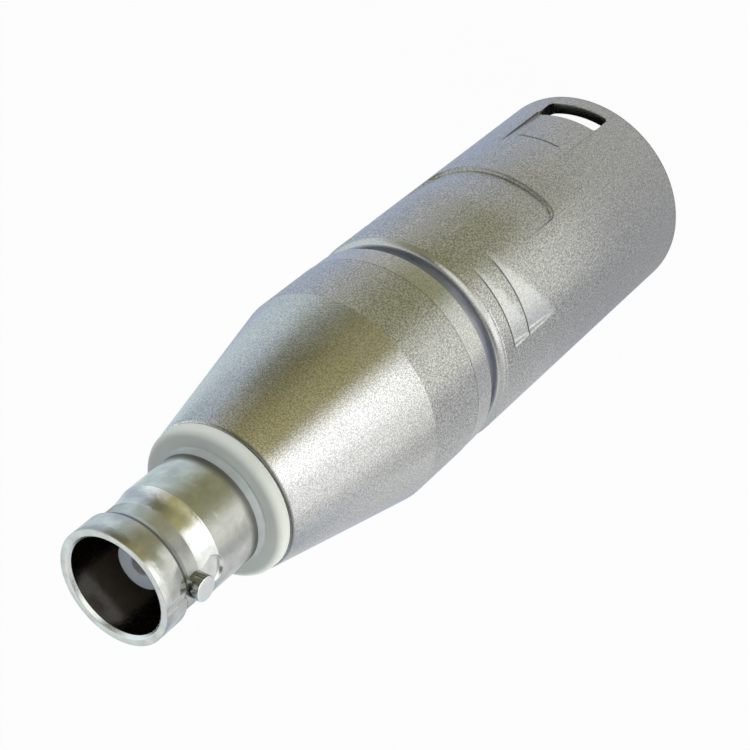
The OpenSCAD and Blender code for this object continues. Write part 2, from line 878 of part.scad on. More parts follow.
xlr_shell();
contact_insert();
contact_pin_left();
contact_pin_right();
contact_pin_lower();
shell_contact_strip();
circuit_board();
transformer_core();
primary_winding();
secondary_winding();
spacer_sleeve();
rear_housing();
insulating_bush();
inner_insulating_washer();
solder_tag();
lock_washer();
hex_nut();
bnc_body();
bayonet_lugs();
bnc_insulator();
bnc_contact();
centre_wire();
tag_wire();
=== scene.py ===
# %% [markdown]
# # A plug-to-jack adapter in nickel, from CAD frame to picture
# The object is a connector adapter as long as a thumb. A die-cast plug shell is screwed to a tapered
# housing, and a small turned bayonet jack stands on the housing's front, kept off it by an ivory bush.
# The CAD model already knows every size, so this lesson never invents one that the frame can tell.
# It rebuilds the metal that shows as finely turned meshes, gives every piece a finish, and lights it.

# %% Load the CAD frame
import json
import math

import bmesh
import bpy
import numpy as np
from mathutils import Matrix, Vector


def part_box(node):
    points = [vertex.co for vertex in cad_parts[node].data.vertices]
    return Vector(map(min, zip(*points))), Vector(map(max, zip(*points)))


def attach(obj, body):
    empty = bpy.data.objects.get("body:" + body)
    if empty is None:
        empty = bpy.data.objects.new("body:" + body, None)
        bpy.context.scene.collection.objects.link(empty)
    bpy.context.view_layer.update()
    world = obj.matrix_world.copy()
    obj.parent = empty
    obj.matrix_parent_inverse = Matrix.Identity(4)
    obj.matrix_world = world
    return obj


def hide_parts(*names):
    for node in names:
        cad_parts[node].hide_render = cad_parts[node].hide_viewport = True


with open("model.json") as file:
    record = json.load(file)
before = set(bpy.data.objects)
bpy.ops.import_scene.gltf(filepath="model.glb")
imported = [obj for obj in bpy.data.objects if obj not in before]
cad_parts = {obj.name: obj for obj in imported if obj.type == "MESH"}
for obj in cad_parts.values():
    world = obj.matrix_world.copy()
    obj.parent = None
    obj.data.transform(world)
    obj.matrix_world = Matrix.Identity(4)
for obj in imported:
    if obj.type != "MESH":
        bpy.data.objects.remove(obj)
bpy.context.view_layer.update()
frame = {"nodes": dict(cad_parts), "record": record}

# %% [markdown]
# ## Sizes
# A reader could type every radius again, but then the picture and the CAD would drift apart. Levels and
# radii are therefore read from the CAD nodes' boxes, in millimetres. Only small forms that a box can't
# tell, such as a rounding or the depth of a recess, are named values beside the piece they belong to.

# %% Read levels and radii from the frame
MM = 0.001


def reach(node):
    """Lowest level, highest level and outer radius of a turned CAD node, in millimetres."""
    low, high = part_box(node)
    return low.z / MM, high.z / MM, high.x / MM


_, z_spigot, shell_r = reach("xlr_shell")
z_housing, z_front, housing_r = reach("rear_housing")
z_bush, z_shoulder, bush_r = reach("insulating_bush")
z_barrel, z_mouth, shoulder_r = reach("bnc_body")
lug_bottom, lug_top, lug_tip = reach("bayonet_lugs")
_, z_insulator, insulator_seat_r = reach("bnc_insulator")
_, z_contact, _ = reach("bnc_contact")
print(f"shell radius {shell_r:.2f}, cone ends at {z_front:.2f}, mouth of the jack at {z_mouth:.2f}")

# %% [markdown]
# ## Camera
# The photograph looks down at the jack from close by, with the object lying across the picture. A camera
# could be placed by eye, but a fit to the outline gives its distance, height and roll at once. The aim
# point lies on the adapter's axis, and the roll turns the upright object into the photograph's slant.

# %% Place the camera
AIM = Vector((-0.31, 0.26, 33.92)) * MM
CAMERA_DISTANCE = 173.84 * MM
CAMERA_AZIMUTH = math.radians(-39.41)
CAMERA_ELEVATION = math.radians(42.49)
CAMERA_ROLL = math.radians(130.16)
CAMERA_LENS = 104.49
CAMERA_NEAR = 10 * MM


def camera_axes():
    """Right, up and back directions of the camera for its azimuth, elevation and roll."""
    level = math.cos(CAMERA_ELEVATION)
    back = Vector((math.sin(CAMERA_AZIMUTH) * level, -math.cos(CAMERA_AZIMUTH) * level, math.sin(CAMERA_ELEVATION)))
    plain_right = Vector((0, 0, 1)).cross(back).normalized()
    plain_up = back.cross(plain_right)
    right = plain_right * math.cos(CAMERA_ROLL) - plain_up * math.sin(CAMERA_ROLL)
    up = plain_up * math.cos(CAMERA_ROLL) + plain_right * math.sin(CAMERA_ROLL)
    return right, up, back


def in_scene(name, data):
    """Makes an object of a camera, a lamp or a mesh, and links it to the scene."""
    made = bpy.data.objects.new(name, data)
    bpy.context.scene.collection.objects.link(made)
    return made


right, up, back = camera_axes()
camera = in_scene("camera", bpy.data.cameras.new("camera"))
camera.matrix_world = Matrix((right, up, back)).transposed().to_4x4()
camera.location = AIM + back * CAMERA_DISTANCE
camera.data.lens = CAMERA_LENS
camera.data.clip_start = CAMERA_NEAR
bpy.context.scene.camera = camera
print("camera at", [round(c / MM, 1) for c in camera.location], "mm")

# %% [markdown]
# ## Nodes in few words
# A finish is a small graph of nodes. Typing each node and link in full hides the idea, so a few helpers
# keep it short: one makes a material and lets a paint function fill its graph, another adds a node and
# fills its sockets. A value goes straight on a socket, and another node's output is linked to it.


# %% Helpers for material graphs
def add(tree, kind, sockets=None, **settings):
    """Adds a node, sets its properties, and fills its sockets with values or links."""
    made = tree.nodes.new(kind)
    for key, value in settings.items():
        setattr(made, key, value)
    for socket, value in (sockets or {}).items():
        if isinstance(value, bpy.types.NodeSocket):
            tree.links.new(value, made.inputs[socket])
        else:
            made.inputs[socket].default_value = value
    return made


def result(tree, kind, sockets=None, **settings):
    """Adds a node and gives its first output."""
    return add(tree, kind, sockets, **settings).outputs[0]


def maths(tree, operation, *values):
    """One step of maths on values or links."""
    return result(tree, "ShaderNodeMath", dict(enumerate(values)), operation=operation)


def painted(name, paint, *values):
    """A material whose empty graph is filled by a paint function."""
    material = bpy.data.materials.new(name)
    material.use_nodes = True
    material.node_tree.nodes.clear()
    paint(material.node_tree, *values)
    return material


def cover(tree, shader):
    """Puts a shader on the surface."""
    add(tree, "ShaderNodeOutputMaterial", {"Surface": shader})


def object_place(tree):
    """Object coordinates, which stay on the piece wherever it goes."""
    return add(tree, "ShaderNodeTexCoord").outputs["Object"]


def height_of(tree, place):
    """Height of a place above the floor."""
    return add(tree, "ShaderNodeSeparateXYZ", {0: place}).outputs["Z"]


def noise(tree, place, grain_mm, detail=2.0):
    """Noise whose blotches are about as wide as the given size."""
    sockets = {"Vector": place, "Scale": 1 / (grain_mm * MM), "Detail": detail}
    return result(tree, "ShaderNodeTexNoise", sockets)


def between(tree, factor, low, high, from_min=0.3, from_max=0.7, kind="LINEAR"):
    """Maps a factor to a range of values, evenly or with a soft start and end."""
    sockets = {"Value": factor, "From Min": from_min, "From Max": from_max, "To Min": low, "To Max": high}
    return result(tree, "ShaderNodeMapRange", sockets, interpolation_type=kind)


def blend_colours(tree, factor, first, second):
    """Mixes two colours, or links, by a factor."""
    return add(tree, "ShaderNodeMix", {0: factor, 6: first, 7: second}, data_type="RGBA").outputs[2]


print("helpers ready")

# %% [markdown]
# ## Floor and daylight
# The photograph's ground is pure white. More light would bleach the metal, so the floor stays a pale
# matt one, and only rays that come straight from the camera, a mirror or glass see it mostly as plain
# white. The rest of its shading stays, and with it a faint shadow under the rim.

# %% Make the floor and the world
FLOOR_COLOUR = (0.88, 0.88, 0.88, 1)
FLOOR_R = 4.0
GROUND_WHITE = 0.96
DAYLIGHT = (0.78, 0.90, 1.0, 1)
DAYLIGHT_STRENGTH = 0.36
PLAIN_WHITE = (1, 1, 1, 1)


def seen_directly(tree):
    """One for rays of the camera and for reflected or refracted ones, zero for scattered light."""
    path = add(tree, "ShaderNodeLightPath").outputs
    bent = maths(tree, "MAXIMUM", path["Is Glossy Ray"], path["Is Transmission Ray"])
    return maths(tree, "MAXIMUM", path["Is Camera Ray"], bent)


def white_ground(tree):
    """Pale matt floor that direct rays see mostly as plain white."""
    share = maths(tree, "MULTIPLY", seen_directly(tree), GROUND_WHITE)
    matt = result(tree, "ShaderNodeBsdfDiffuse", {"Color": FLOOR_COLOUR})
    white = result(tree, "ShaderNodeEmission", {"Color": PLAIN_WHITE, "Strength": 1.0})
    cover(tree, result(tree, "ShaderNodeMixShader", {0: share, 1: matt, 2: white}))


def from_mesh(name, mesh):
    """Makes an object of a finished mesh."""
    data = bpy.data.meshes.new(name)
    mesh.to_mesh(data)
    mesh.free()
    return in_scene(name, data)


def stage_object(name, mesh, paint):
    """Makes a mesh a painted part of the studio, which doesn't belong to the adapter."""
    made = from_mesh(name, mesh)
    made.data.materials.append(painted(paint.__name__, paint))
    return made


def flat_disc(radius, level, sides=128):
    """A flat disc on the axis, facing up."""
    mesh = bmesh.new()
    turns = [2 * math.pi * i / sides for i in range(sides)]
    mesh.faces.new([mesh.verts.new((radius * math.cos(t), radius * math.sin(t), level)) for t in turns])
    return mesh


stage_object("floor", flat_disc(FLOOR_R, 0), white_ground)
world = bpy.data.worlds.new("daylight")
world.use_nodes = True
bpy.context.scene.world = world
sky = world.node_tree
sky.nodes.clear()
soft = result(sky, "ShaderNodeBackground", {"Color": DAYLIGHT, "Strength": DAYLIGHT_STRENGTH})
plain = result(sky, "ShaderNodeBackground", {"Color": PLAIN_WHITE, "Strength": 1.0})
both = result(sky, "ShaderNodeMixShader", {0: seen_directly(sky), 1: soft, 2: plain})
add(sky, "ShaderNodeOutputWorld", {"Surface": both})
bpy.context.scene.view_settings.view_transform = "Standard"
print("floor", FLOOR_R * 2, "m across")

# %% [markdown]
# ## Cards for the metal to mirror
# Nickel shows its surroundings more than itself. In the photograph a white band lies beside a dark olive
# one on the cone, the housing and the jack repeat both more faintly, and the shell mirrors a plain grey.
# A photographer gets that with cards round the object, so a printed card lies on the floor here: only
# mirrored rays see it, and it casts no shadow. A wall mirrors the floor the further out the higher it
# stands, so the card has a ring of print for each piece. Under the plug's mouth it is dark.

# %% Choose the prints
WHITE_CARD = (1.60, 1.64, 1.68)
SOFT_WHITE = (1.10, 1.12, 1.14)
HAZE_WHITE = (0.84, 0.86, 0.82)
PALE_GREY = (0.74, 0.76, 0.78)
SIDE_GREY = (0.62, 0.635, 0.66)
MIDDLE_GREY = (0.48, 0.485, 0.48)
NEAR_GREY = (0.415, 0.43, 0.46)
OLIVE_CARD = (0.12, 0.115, 0.06)
GOLDEN_OLIVE = (0.37, 0.34, 0.17)
PALE_GOLD = (0.92, 0.87, 0.60)
HAZE_OLIVE = (0.30, 0.30, 0.19)
COOL_CARD = (0.42, 0.49, 0.59)
NEAR_BLUE = (0.45, 0.52, 0.67)
PALE_BLUE = (0.64, 0.75, 0.81)
SKY_BLUE = (0.84, 0.95, 1.0)
MOUTH_DARK = (0.03, 0.03, 0.03)
WHITE_SIDE = ((-180, SOFT_WHITE), (-160, WHITE_CARD), (-145, WHITE_CARD))
SHELL_PRINT = ((-180, NEAR_GREY), (-130, MIDDLE_GREY), (-90, MIDDLE_GREY), (-35, NEAR_BLUE), (60, NEAR_BLUE),
               (130, NEAR_GREY))
HOUSING_PRINT = ((-180, HAZE_WHITE), (-140, HAZE_WHITE), (-117, HAZE_OLIVE), (-88, HAZE_OLIVE), (-50, MIDDLE_GREY),
                 (-15, NEAR_BLUE), (60, NEAR_BLUE), (100, SIDE_GREY), (174, NEAR_GREY))
JACK_PRINT = ((-180, HAZE_WHITE), (-168, HAZE_WHITE), (-135, HAZE_OLIVE), (-87, HAZE_OLIVE), (-37, PALE_BLUE),
              (60, PALE_BLUE), (95, SIDE_GREY), (128, PALE_GREY), (152, MIDDLE_GREY))
CONE_PRINT = (*WHITE_SIDE, (-125, GOLDEN_OLIVE), (-108, GOLDEN_OLIVE), (-78, OLIVE_CARD), (-58, OLIVE_CARD),
              (-34, COOL_CARD), (112, COOL_CARD), (146, PALE_GREY), (163, SOFT_WHITE))
FLARE_PRINT = (*WHITE_SIDE, (-125, GOLDEN_OLIVE), (-80, GOLDEN_OLIVE), (-52, PALE_GREY), (-30, SKY_BLUE),
               (100, PALE_BLUE), (132, SKY_BLUE), (155, SOFT_WHITE))
HORIZON_PRINT = (*WHITE_SIDE, (-122, PALE_GOLD), (-80, GOLDEN_OLIVE), (-45, SKY_BLUE), (132, SKY_BLUE),
                 (155, SOFT_WHITE))
BEAD_PRINT = ((-180, WHITE_CARD), (-167, WHITE_CARD), (-147, PALE_GREY), (-122, OLIVE_CARD), (-95, HAZE_OLIVE),
              (-60, HAZE_OLIVE), (-32, SKY_BLUE), (80, PALE_BLUE), (130, SIDE_GREY), (172, PALE_GREY))
RINGS = ((20, 28, HOUSING_PRINT), (54, 76, JACK_PRINT), (98, 104, CONE_PRINT), (135, 185, FLARE_PRINT),
         (230, 300, HORIZON_PRINT))
print("rings of print begin at", [begin for begin, _, _ in RINGS], "mm")

# %% Print and lay the floor card
STUDIO_R = 400 * MM
CARD_LEVEL = 0.05 * MM
MOUTH_SHADE = (9.0 * MM, 9.8 * MM)
BRIGHTEST = 2.0
ALL_BUT_MIRRORED = ("camera", "diffuse", "transmission", "shadow")


def ink(colour):
    """A printed colour, as a share of the brightest one that the card can hold."""
    return (*(c / BRIGHTEST for c in colour), 1)


def compass(tree, place):
    """Direction of a place from the adapter's axis, from 0 to 1 round the compass."""
    parts = add(tree, "ShaderNodeSeparateXYZ", {0: place}).outputs
    return between(tree, maths(tree, "ARCTAN2", parts["Y"], parts["X"]), 0, 1, -math.pi, math.pi)


def printed_round(tree, turn, stops):
    """Colours round the compass: a ramp over the direction, closed at the back."""
    ramp = add(tree, "ShaderNodeValToRGB", {"Fac": turn})
    around = [*stops, (180, stops[0][1])]
    elements = ramp.color_ramp.elements
    while len(elements) < len(around):
        elements.new(0.5)
    for element, (degrees, colour) in zip(elements, around):
        element.position = (degrees + 180) / 360
        element.color = ink(colour)
    return ramp.outputs["Color"]


def axis_distance(tree, place):
    """Distance from the adapter's axis."""
    flat = result(tree, "ShaderNodeVectorMath", {0: place, 1: (1, 1, 0)}, operation="MULTIPLY")
    return add(tree, "ShaderNodeVectorMath", {0: flat}, operation="LENGTH").outputs["Value"]


def glow(tree, colour):
    """Lets a printed colour shine at the brightness it stands for."""
    cover(tree, result(tree, "ShaderNodeEmission", {"Color": colour, "Strength": BRIGHTEST}))


def printed_card(tree):
    """Rings of print by the distance from the axis, each with its colours round the compass."""
    place = object_place(tree)
    turn = compass(tree, place)
    away = axis_distance(tree, place)
    colour = printed_round(tree, turn, SHELL_PRINT)
    for begin, full, stops in RINGS:
        share = between(tree, away, 0, 1, begin * MM, full * MM, "SMOOTHSTEP")
        colour = blend_colours(tree, share, colour, printed_round(tree, turn, stops))
    shade = between(tree, away, 1, 0, *MOUTH_SHADE, "SMOOTHSTEP")
    glow(tree, blend_colours(tree, shade, colour, ink(MOUTH_DARK)))


def hide_from(made, *kinds):
    """Hides an object from some kinds of rays."""
    for kind in kinds:
        setattr(made, "visible_" + kind, False)


card = stage_object("floor_card", flat_disc(STUDIO_R, CARD_LEVEL), printed_card)
hide_from(card, *ALL_BUT_MIRRORED)
print("floor card with", len(RINGS) + 1, "rings of print")

# %% [markdown]
# ## A dim tent over the object
# Edges that face upwards mirror what is overhead. The jack's rim is pale and the shoulder below it dark,
# so the camera's side of the studio was dim and the far side lit, but for a soft light beside the lens that
# the bevel of the jack's mouth throws straight back. The bead mirrors the horizon, which has a print of
# its own. A tent round the object holds all of these, and again only mirrored rays see it.

# %% Raise the tent
TENT_DARK = (0.05, 0.05, 0.045)
TENT_PALE = (0.90, 0.93, 0.95)
TENT_TURN = (-0.2, 0.5)
HORIZON_BAND = (0.52, 0.74)
LENS_LIGHT = (1.10, 1.15, 1.08)
LENS_REACH = (math.radians(32), math.radians(20))


def share_along(tree, place, way):
    """How far a place lies along a way, as a share of the studio's radius."""
    sockets = {0: place, 1: way / STUDIO_R}
    return add(tree, "ShaderNodeVectorMath", sockets, operation="DOT_PRODUCT").outputs["Value"]


def tent_cloth(tree):
    """Cloth that is dim towards the camera and pale beyond, with the horizon's print and the light by the lens."""
    place = object_place(tree)
    to_camera = Vector((back.x, back.y, 0)).normalized()
    dark = between(tree, share_along(tree, place, to_camera), 0, 1, *TENT_TURN, "SMOOTHSTEP")
    overhead = blend_colours(tree, dark, ink(TENT_PALE), ink(TENT_DARK))
    band = (share * STUDIO_R for share in HORIZON_BAND)
    low = between(tree, height_of(tree, place), 1, 0, *band, "SMOOTHSTEP")
    horizon = printed_round(tree, compass(tree, place), BEAD_PRINT)
    reaches = (math.cos(turn) for turn in LENS_REACH)
    lens = between(tree, share_along(tree, place, back), 0, 1, *reaches, "SMOOTHSTEP")
    glow(tree, blend_colours(tree, lens, blend_colours(tree, low, overhead, horizon), ink(LENS_LIGHT)))


mesh = bmesh.new()
bmesh.ops.create_uvsphere(mesh, u_segments=64, v_segments=32, radius=STUDIO_R)
hide_from(stage_object("tent", mesh, tent_cloth), *ALL_BUT_MIRRORED)
print("tent", STUDIO_R * 2, "m across")

# %% [markdown]
# ## Two soft lamps
# Two large low lamps give the ivory rim its light, the stronger one on the plug's latch-free side, and
# leave the bush's front face in the cool daylight. The metal mirrors the cards alone, so the lamps are
# hidden from mirrored rays.

# %% Set the lamps
LAMP_DISTANCE = 420 * MM
LAMP_LEVEL = 5 * MM
LAMP_SIZE = 0.35
LAMP_COLOUR = (0.98, 1.0, 0.96)
LAMPS = (("front_lamp", -85, 1.60), ("side_lamp", -212, 2.95))


def set_lamp(name, direction, power):
    """A soft square lamp in a direction round the axis, in degrees."""
    turn = math.radians(direction)
    lamp = in_scene(name, bpy.data.lights.new(name, "AREA"))
    lamp.location = (LAMP_DISTANCE * math.cos(turn), LAMP_DISTANCE * math.sin(turn), LAMP_LEVEL)
    away = lamp.location - AIM
    lamp.rotation_euler = away.to_track_quat("Z", "Y").to_euler()
    lamp.data.size = LAMP_SIZE
    lamp.data.energy = power
    lamp.data.color = LAMP_COLOUR
    hide_from(lamp, "glossy", "camera")
    print(name, round(away.length, 3), "m away")


for lamp_recipe in LAMPS:
    set_lamp(*lamp_recipe)

# %% [markdown]
# ## Blasted and bright nickel
# The shell and the housing are cast, blasted and plated. The blasting leaves a fine grain of pits and
# crests that breaks each reflection into specks: the pits are duller, the crests shine. One noise drives
# colour and bump together, so that they agree, and it softens towards the plug's worn end. Attributes on
# the mesh say where the grips, which fingers rub, get a painted highlight, and where painted shade darkens
# corners and steps. The jack is turned brass with bright plate, blotched by handling.


# %% Helpers for finishes
def noted(tree, word):
    """Value that the mesh keeps for each of its points under a word."""
    return add(tree, "ShaderNodeAttribute", attribute_name=word).outputs["Fac"]


def bump(tree, height, height_mm, **under):
    """Bump of so many millimetres, on the normal of another one where that is given."""
    sockets = {"Strength": 1.0, "Distance": height_mm * MM, "Height": height}
    return result(tree, "ShaderNodeBump", sockets | under)


def shine(tree, colour, roughness, normal, metallic=1.0):
    """Covers a piece in the given colour, roughness and bump, as metal or not."""
    sockets = {"Base Color": colour, "Metallic": metallic, "Roughness": roughness, "Normal": normal}
    cover(tree, result(tree, "ShaderNodeBsdfPrincipled", sockets))


def mixed(paint, recipes):
    """Finishes by name, each painted from the values of its recipe."""
    return {name: painted(name, paint, *values) for name, *values in recipes}


print("ready to mix finishes")

# %% Mix the blasted nickel
NICKEL_COLOUR = (0.65, 0.64, 0.61)
SPECKS = (0.38, 0.62)
CLOUD_MM = 3.5
CLOUD_MATT = (-0.03, 0.04)
# The two values below brighten the grips where fingers rub them: part wear, part painted highlight.
RUBBED_HIGHLIGHT_GAIN = 1.6
RUBBED_HIGHLIGHT_CONTRAST = 0.8
# The colour below is painted shade, laid on corners and steps where the mesh notes it.
PAINTED_SHADE_COLOUR = (0.10, 0.097, 0.09, 1)
WORN_END = (2 * MM, 20 * MM)
WORN_SHARE = 0.55
NOISE_MIDDLE = 0.5
BLASTED_FINISHES = (
    ("satin_nickel", 0.30, 0.13, 0.024, 0.36, 1.0), ("smooth_band", 0.25, 0.13, 0.010, 0.20, 1.13),
    ("smooth_bead", 0.25, 0.13, 0.008, 0.12, 0.92), ("turned_cone", 0.19, 0.12, 0.011, 0.24, 1.02))


def speckled(tree, grain, gain, contrast):
    """Nickel between a dull pit and a bright crest of the grain."""
    pit, crest = ((*(min(c * gain * share, 1) for c in NICKEL_COLOUR), 1) for share in (1 - contrast, 1 + contrast))
    return blend_colours(tree, between(tree, grain, 0, 1, *SPECKS), pit, crest)


def blasted_nickel(tree, roughness, grain_mm, grain_height_mm, contrast, gain):
    """Blasted nickel plate with a speckled grain; the mesh may say where a painted highlight brightens the grips and
    where painted shade lies.
    """
    place = object_place(tree)
    crisp = between(tree, height_of(tree, place), WORN_SHARE, 1, *WORN_END)
    deviation = maths(tree, "SUBTRACT", noise(tree, place, grain_mm), NOISE_MIDDLE)
    grain = maths(tree, "MULTIPLY_ADD", deviation, crisp, NOISE_MIDDLE)
    colour = blend_colours(tree, noted(tree, "rubbed_highlight"), speckled(tree, grain, gain, contrast),
                           speckled(tree, grain, gain * RUBBED_HIGHLIGHT_GAIN, contrast * RUBBED_HIGHLIGHT_CONTRAST))
    colour = blend_colours(tree, noted(tree, "painted_shade"), colour, PAINTED_SHADE_COLOUR)
    matt = between(tree, noise(tree, place, CLOUD_MM), *(roughness + spread for spread in CLOUD_MATT))
    shine(tree, colour, matt, bump(tree, grain, grain_height_mm))


finishes = mixed(blasted_nickel, BLASTED_FINISHES)
print("blasted finishes:", ", ".join(finishes))

# %% Mix the bright nickel
SHADE_ROUGHER = 0.35
BRIGHT_DARK = (0.58, 0.58, 0.535)
BRIGHT_LIGHT = (0.77, 0.77, 0.73)
BLOTCH_MM = 1.1
BLOTCH_MATT = 0.05
TOOL_MM = 0.5
TOOL_HEIGHT = 0.002
TOOL_SQUEEZE = (0.35, 0.35, 4.0)
# The flare's plate below is lighter than the jack's as a painted highlight.
BRIGHT_FINISHES = (
    ("bright_nickel", 0.18, 0.030, 1.0), ("flare_plate", 0.18, 0.030, 1.25), ("neck_plate", 0.34, 0.010, 1.10),
    # The lugs' plate below is darker as painted shade.
    ("lug_plate", 0.16, 0.008, 0.5))


def bright_nickel(tree, roughness, wobble_mm, gain):
    """Bright plate on turned brass, with fine rings from the tool, a blotchy shine, and painted shade where the mesh
    notes it.
    """
    place = object_place(tree)
    squeezed = result(tree, "ShaderNodeMapping", {"Vector": place, "Scale": TOOL_SQUEEZE})
    rings = noise(tree, squeezed, TOOL_MM, 3.0)
    blotch = noise(tree, place, BLOTCH_MM, 3.0)
    painted_shade = noted(tree, "painted_shade")
    dull, clear = ((*(c * gain for c in colour), 1) for colour in (BRIGHT_DARK, BRIGHT_LIGHT))
    colour = blend_colours(tree, between(tree, blotch, 0, 1), dull, clear)
    # Painted shade darkens the plate where the mesh notes it.
    colour = blend_colours(tree, painted_shade, colour, PAINTED_SHADE_COLOUR)
    matt = between(tree, blotch, roughness + BLOTCH_MATT, roughness - BLOTCH_MATT)
    matt = maths(tree, "MULTIPLY_ADD", painted_shade, SHADE_ROUGHER, matt)
    shine(tree, colour, matt, bump(tree, rings, TOOL_HEIGHT, Normal=bump(tree, blotch, wobble_mm)))


finishes |= mixed(bright_nickel, BRIGHT_FINISHES)
print("nickel finishes:", ", ".join(finishes))

# %% [markdown]
# ## Plastics and the metals inside
# The bush is ivory plastic, the jack's insulator a paler one, and the insert is black. Inside are a
# circuit board, a ferrite ring with its copper turns, and tinned or gilt metal. One recipe serves each
# family: two close colours clouded into each other, a roughness that follows the cloud, a fine bump.

# %% Mix the plain finishes
FINER = 8
GRAIN_MATT = 0.06


def clouded(tree, light, dark, roughness, cloud_mm, bump_mm, metallic=0.0):
    """Two close colours clouded into each other, with roughness and a fine bump from a finer cloud."""
    place = object_place(tree)
    cloud = between(tree, noise(tree, place, cloud_mm, 3.0), 0, 1)
    grain = noise(tree, place, cloud_mm / FINER)
    matt = between(tree, grain, roughness - GRAIN_MATT, roughness + GRAIN_MATT)
    shine(tree, blend_colours(tree, cloud, (*dark, 1), (*light, 1)), matt, bump(tree, grain, bump_mm), metallic)


# Painted light in the rows below: the shell's inside, its joint, the jack's shoulder, a ring under its sleeve and the
# floor of its bore are darker as painted shade, and one light plate on the jack's mouth and the lugs' ends is a
# painted highlight. The bore's wall is a darker, browner plate.
PLAIN_FINISHES = (
    ("dull_inside", (0.13, 0.125, 0.115), (0.09, 0.087, 0.08), 0.40, 1.5, 0.004, 1.0),
    ("dull_joint", (0.48, 0.49, 0.54), (0.40, 0.41, 0.45), 0.40, 1.5, 0.004, 1.0),
    ("dull_shoulder", (0.55, 0.57, 0.56), (0.46, 0.48, 0.47), 0.50, 1.5, 0.004, 0.5),
    ("dark_ring", (0.26, 0.27, 0.26), (0.20, 0.21, 0.20), 0.42, 1.5, 0.004, 1.0),
    ("worn_plate", (0.94, 0.95, 0.92), (0.86, 0.87, 0.84), 0.30, 1.0, 0.003, 1.0),
    ("dark_bore", (0.33, 0.29, 0.24), (0.25, 0.22, 0.18), 0.19, 1.5, 0.002, 1.0),
    ("deep_bore", (0.025, 0.024, 0.023), (0.015, 0.015, 0.014), 0.50, 1.5, 0.004),
    ("silver_plate", (0.84, 0.83, 0.80), (0.74, 0.73, 0.70), 0.20, 2.0, 0.001, 1.0),
    ("gilt_brass", (0.83, 0.63, 0.28), (0.70, 0.50, 0.20), 0.22, 1.5, 0.001, 1.0),
    ("zinc_plated_steel", (0.66, 0.68, 0.72), (0.52, 0.53, 0.56), 0.32, 1.5, 0.002, 1.0),
    ("spring_bronze", (0.78, 0.70, 0.48), (0.66, 0.56, 0.34), 0.28, 1.5, 0.001, 1.0),
    ("ivory_plastic", (0.80, 0.79, 0.71), (0.75, 0.74, 0.66), 0.42, 2.5, 0.003),
    ("black_plastic", (0.026, 0.026, 0.028), (0.016, 0.016, 0.018), 0.45, 2.0, 0.004),
    ("white_insulator", (0.86, 0.86, 0.88), (0.80, 0.80, 0.83), 0.50, 1.5, 0.003),
    ("clear_sleeve", (0.80, 0.78, 0.70), (0.74, 0.71, 0.62), 0.40, 3.0, 0.002),
    ("board_laminate", (0.07, 0.25, 0.11), (0.04, 0.17, 0.07), 0.30, 1.0, 0.004),
    ("ferrite", (0.12, 0.12, 0.125), (0.07, 0.07, 0.075), 0.60, 0.8, 0.008),
    ("copper_wire", (0.55, 0.24, 0.10), (0.40, 0.15, 0.06), 0.25, 0.6, 0.001, 0.9),
    ("red_insulation", (0.50, 0.05, 0.04), (0.40, 0.03, 0.03), 0.40, 1.2, 0.002),
    ("black_insulation", (0.04, 0.04, 0.042), (0.025, 0.025, 0.026), 0.40, 1.2, 0.002))
finishes |= mixed(clouded, PLAIN_FINISHES)
print(len(finishes), "finishes:", ", ".join(finishes))

# %% [markdown]
# ## Turning on a lathe
# Nearly every piece is turned, so one lathe serves all. A half outline is written as its corners, each
# with a rounding, and an arc replaces each corner: sharp CAD edges never catch the light as real ones do.
# Blender's Screw modifier would turn the outline too, but it can't move points sideways or leave a window
# open. The lathe below turns the outline in chosen columns, and a shape function may carve the result.

# %% Build the lathe
SHARP, CRISP, SOFT, EASY = 0.0, 0.05, 0.10, 0.15


def arc(centre, radius, start, stop, steps):
    """Points on an arc about a centre, in millimetres, between two angles in radians."""
    turns = np.linspace(start, stop, steps + 1)
    return [(centre[0] + radius * math.cos(t), centre[1] + radius * math.sin(t)) for t in turns]


def rounded(corners, steps=5):
    """Outline from (radius, level, rounding) corners in millimetres; each rounding becomes an arc."""
    points = []
    for i, (r, z, rounding) in enumerate(corners):
        here = Vector((r, z))
        if not rounding:
            points.append((r, z))
            continue
        before = (Vector(corners[i - 1][:2]) - here).normalized()
        after = (Vector(corners[(i + 1) % len(corners)][:2]) - here).normalized()
        half = before.angle(after) / 2
        centre = here + (before + after).normalized() * rounding / math.sin(half)
        first = here + before * rounding / math.tan(half) - centre
        last = here + after * rounding / math.tan(half) - centre
        start = math.atan2(first.y, first.x)
        points += arc(centre, rounding, start, start + math.atan2(first.cross(last), first.dot(last)), steps)
    return points


def even_columns(count):
    """Directions round the axis, in radians from the window's side."""
    return np.linspace(-math.pi, math.pi, count, endpoint=False)


def lathe_mesh(outline, columns, shape=None, left_open=None):
    """Turns a closed outline; shape may move the points, and left_open names the faces to leave out."""
    radius, level = np.array(outline).T
    angle, radius = np.meshgrid(columns, radius, indexing="ij")
    level = np.broadcast_to(level, radius.shape)
    if shape:
        angle, radius, level = shape(angle, radius, level)
    place = np.stack([radius * np.sin(angle), -radius * np.cos(angle), level], axis=-1) * MM
    mesh = bmesh.new()
    points = [[mesh.verts.new(p) for p in column] for column in place]
    for c in range(len(columns)):
        d = (c + 1) % len(columns)
        for k in range(len(outline)):
            m = (k + 1) % len(outline)
            if not (left_open and left_open(c, k)):
                mesh.faces.new((points[c][k], points[d][k], points[d][m], points[c][m]))
    return mesh, points


print("lathe ready")

# %% [markdown]
# ## From mesh to piece
# Each finished mesh becomes a piece in the same way: doubles are merged, faces turned outwards, smooth
# shading kept off real edges. Then the piece rides on the part and stands for the CAD node that it
# replaces, which is hidden. Other finishes may go on some of its faces.

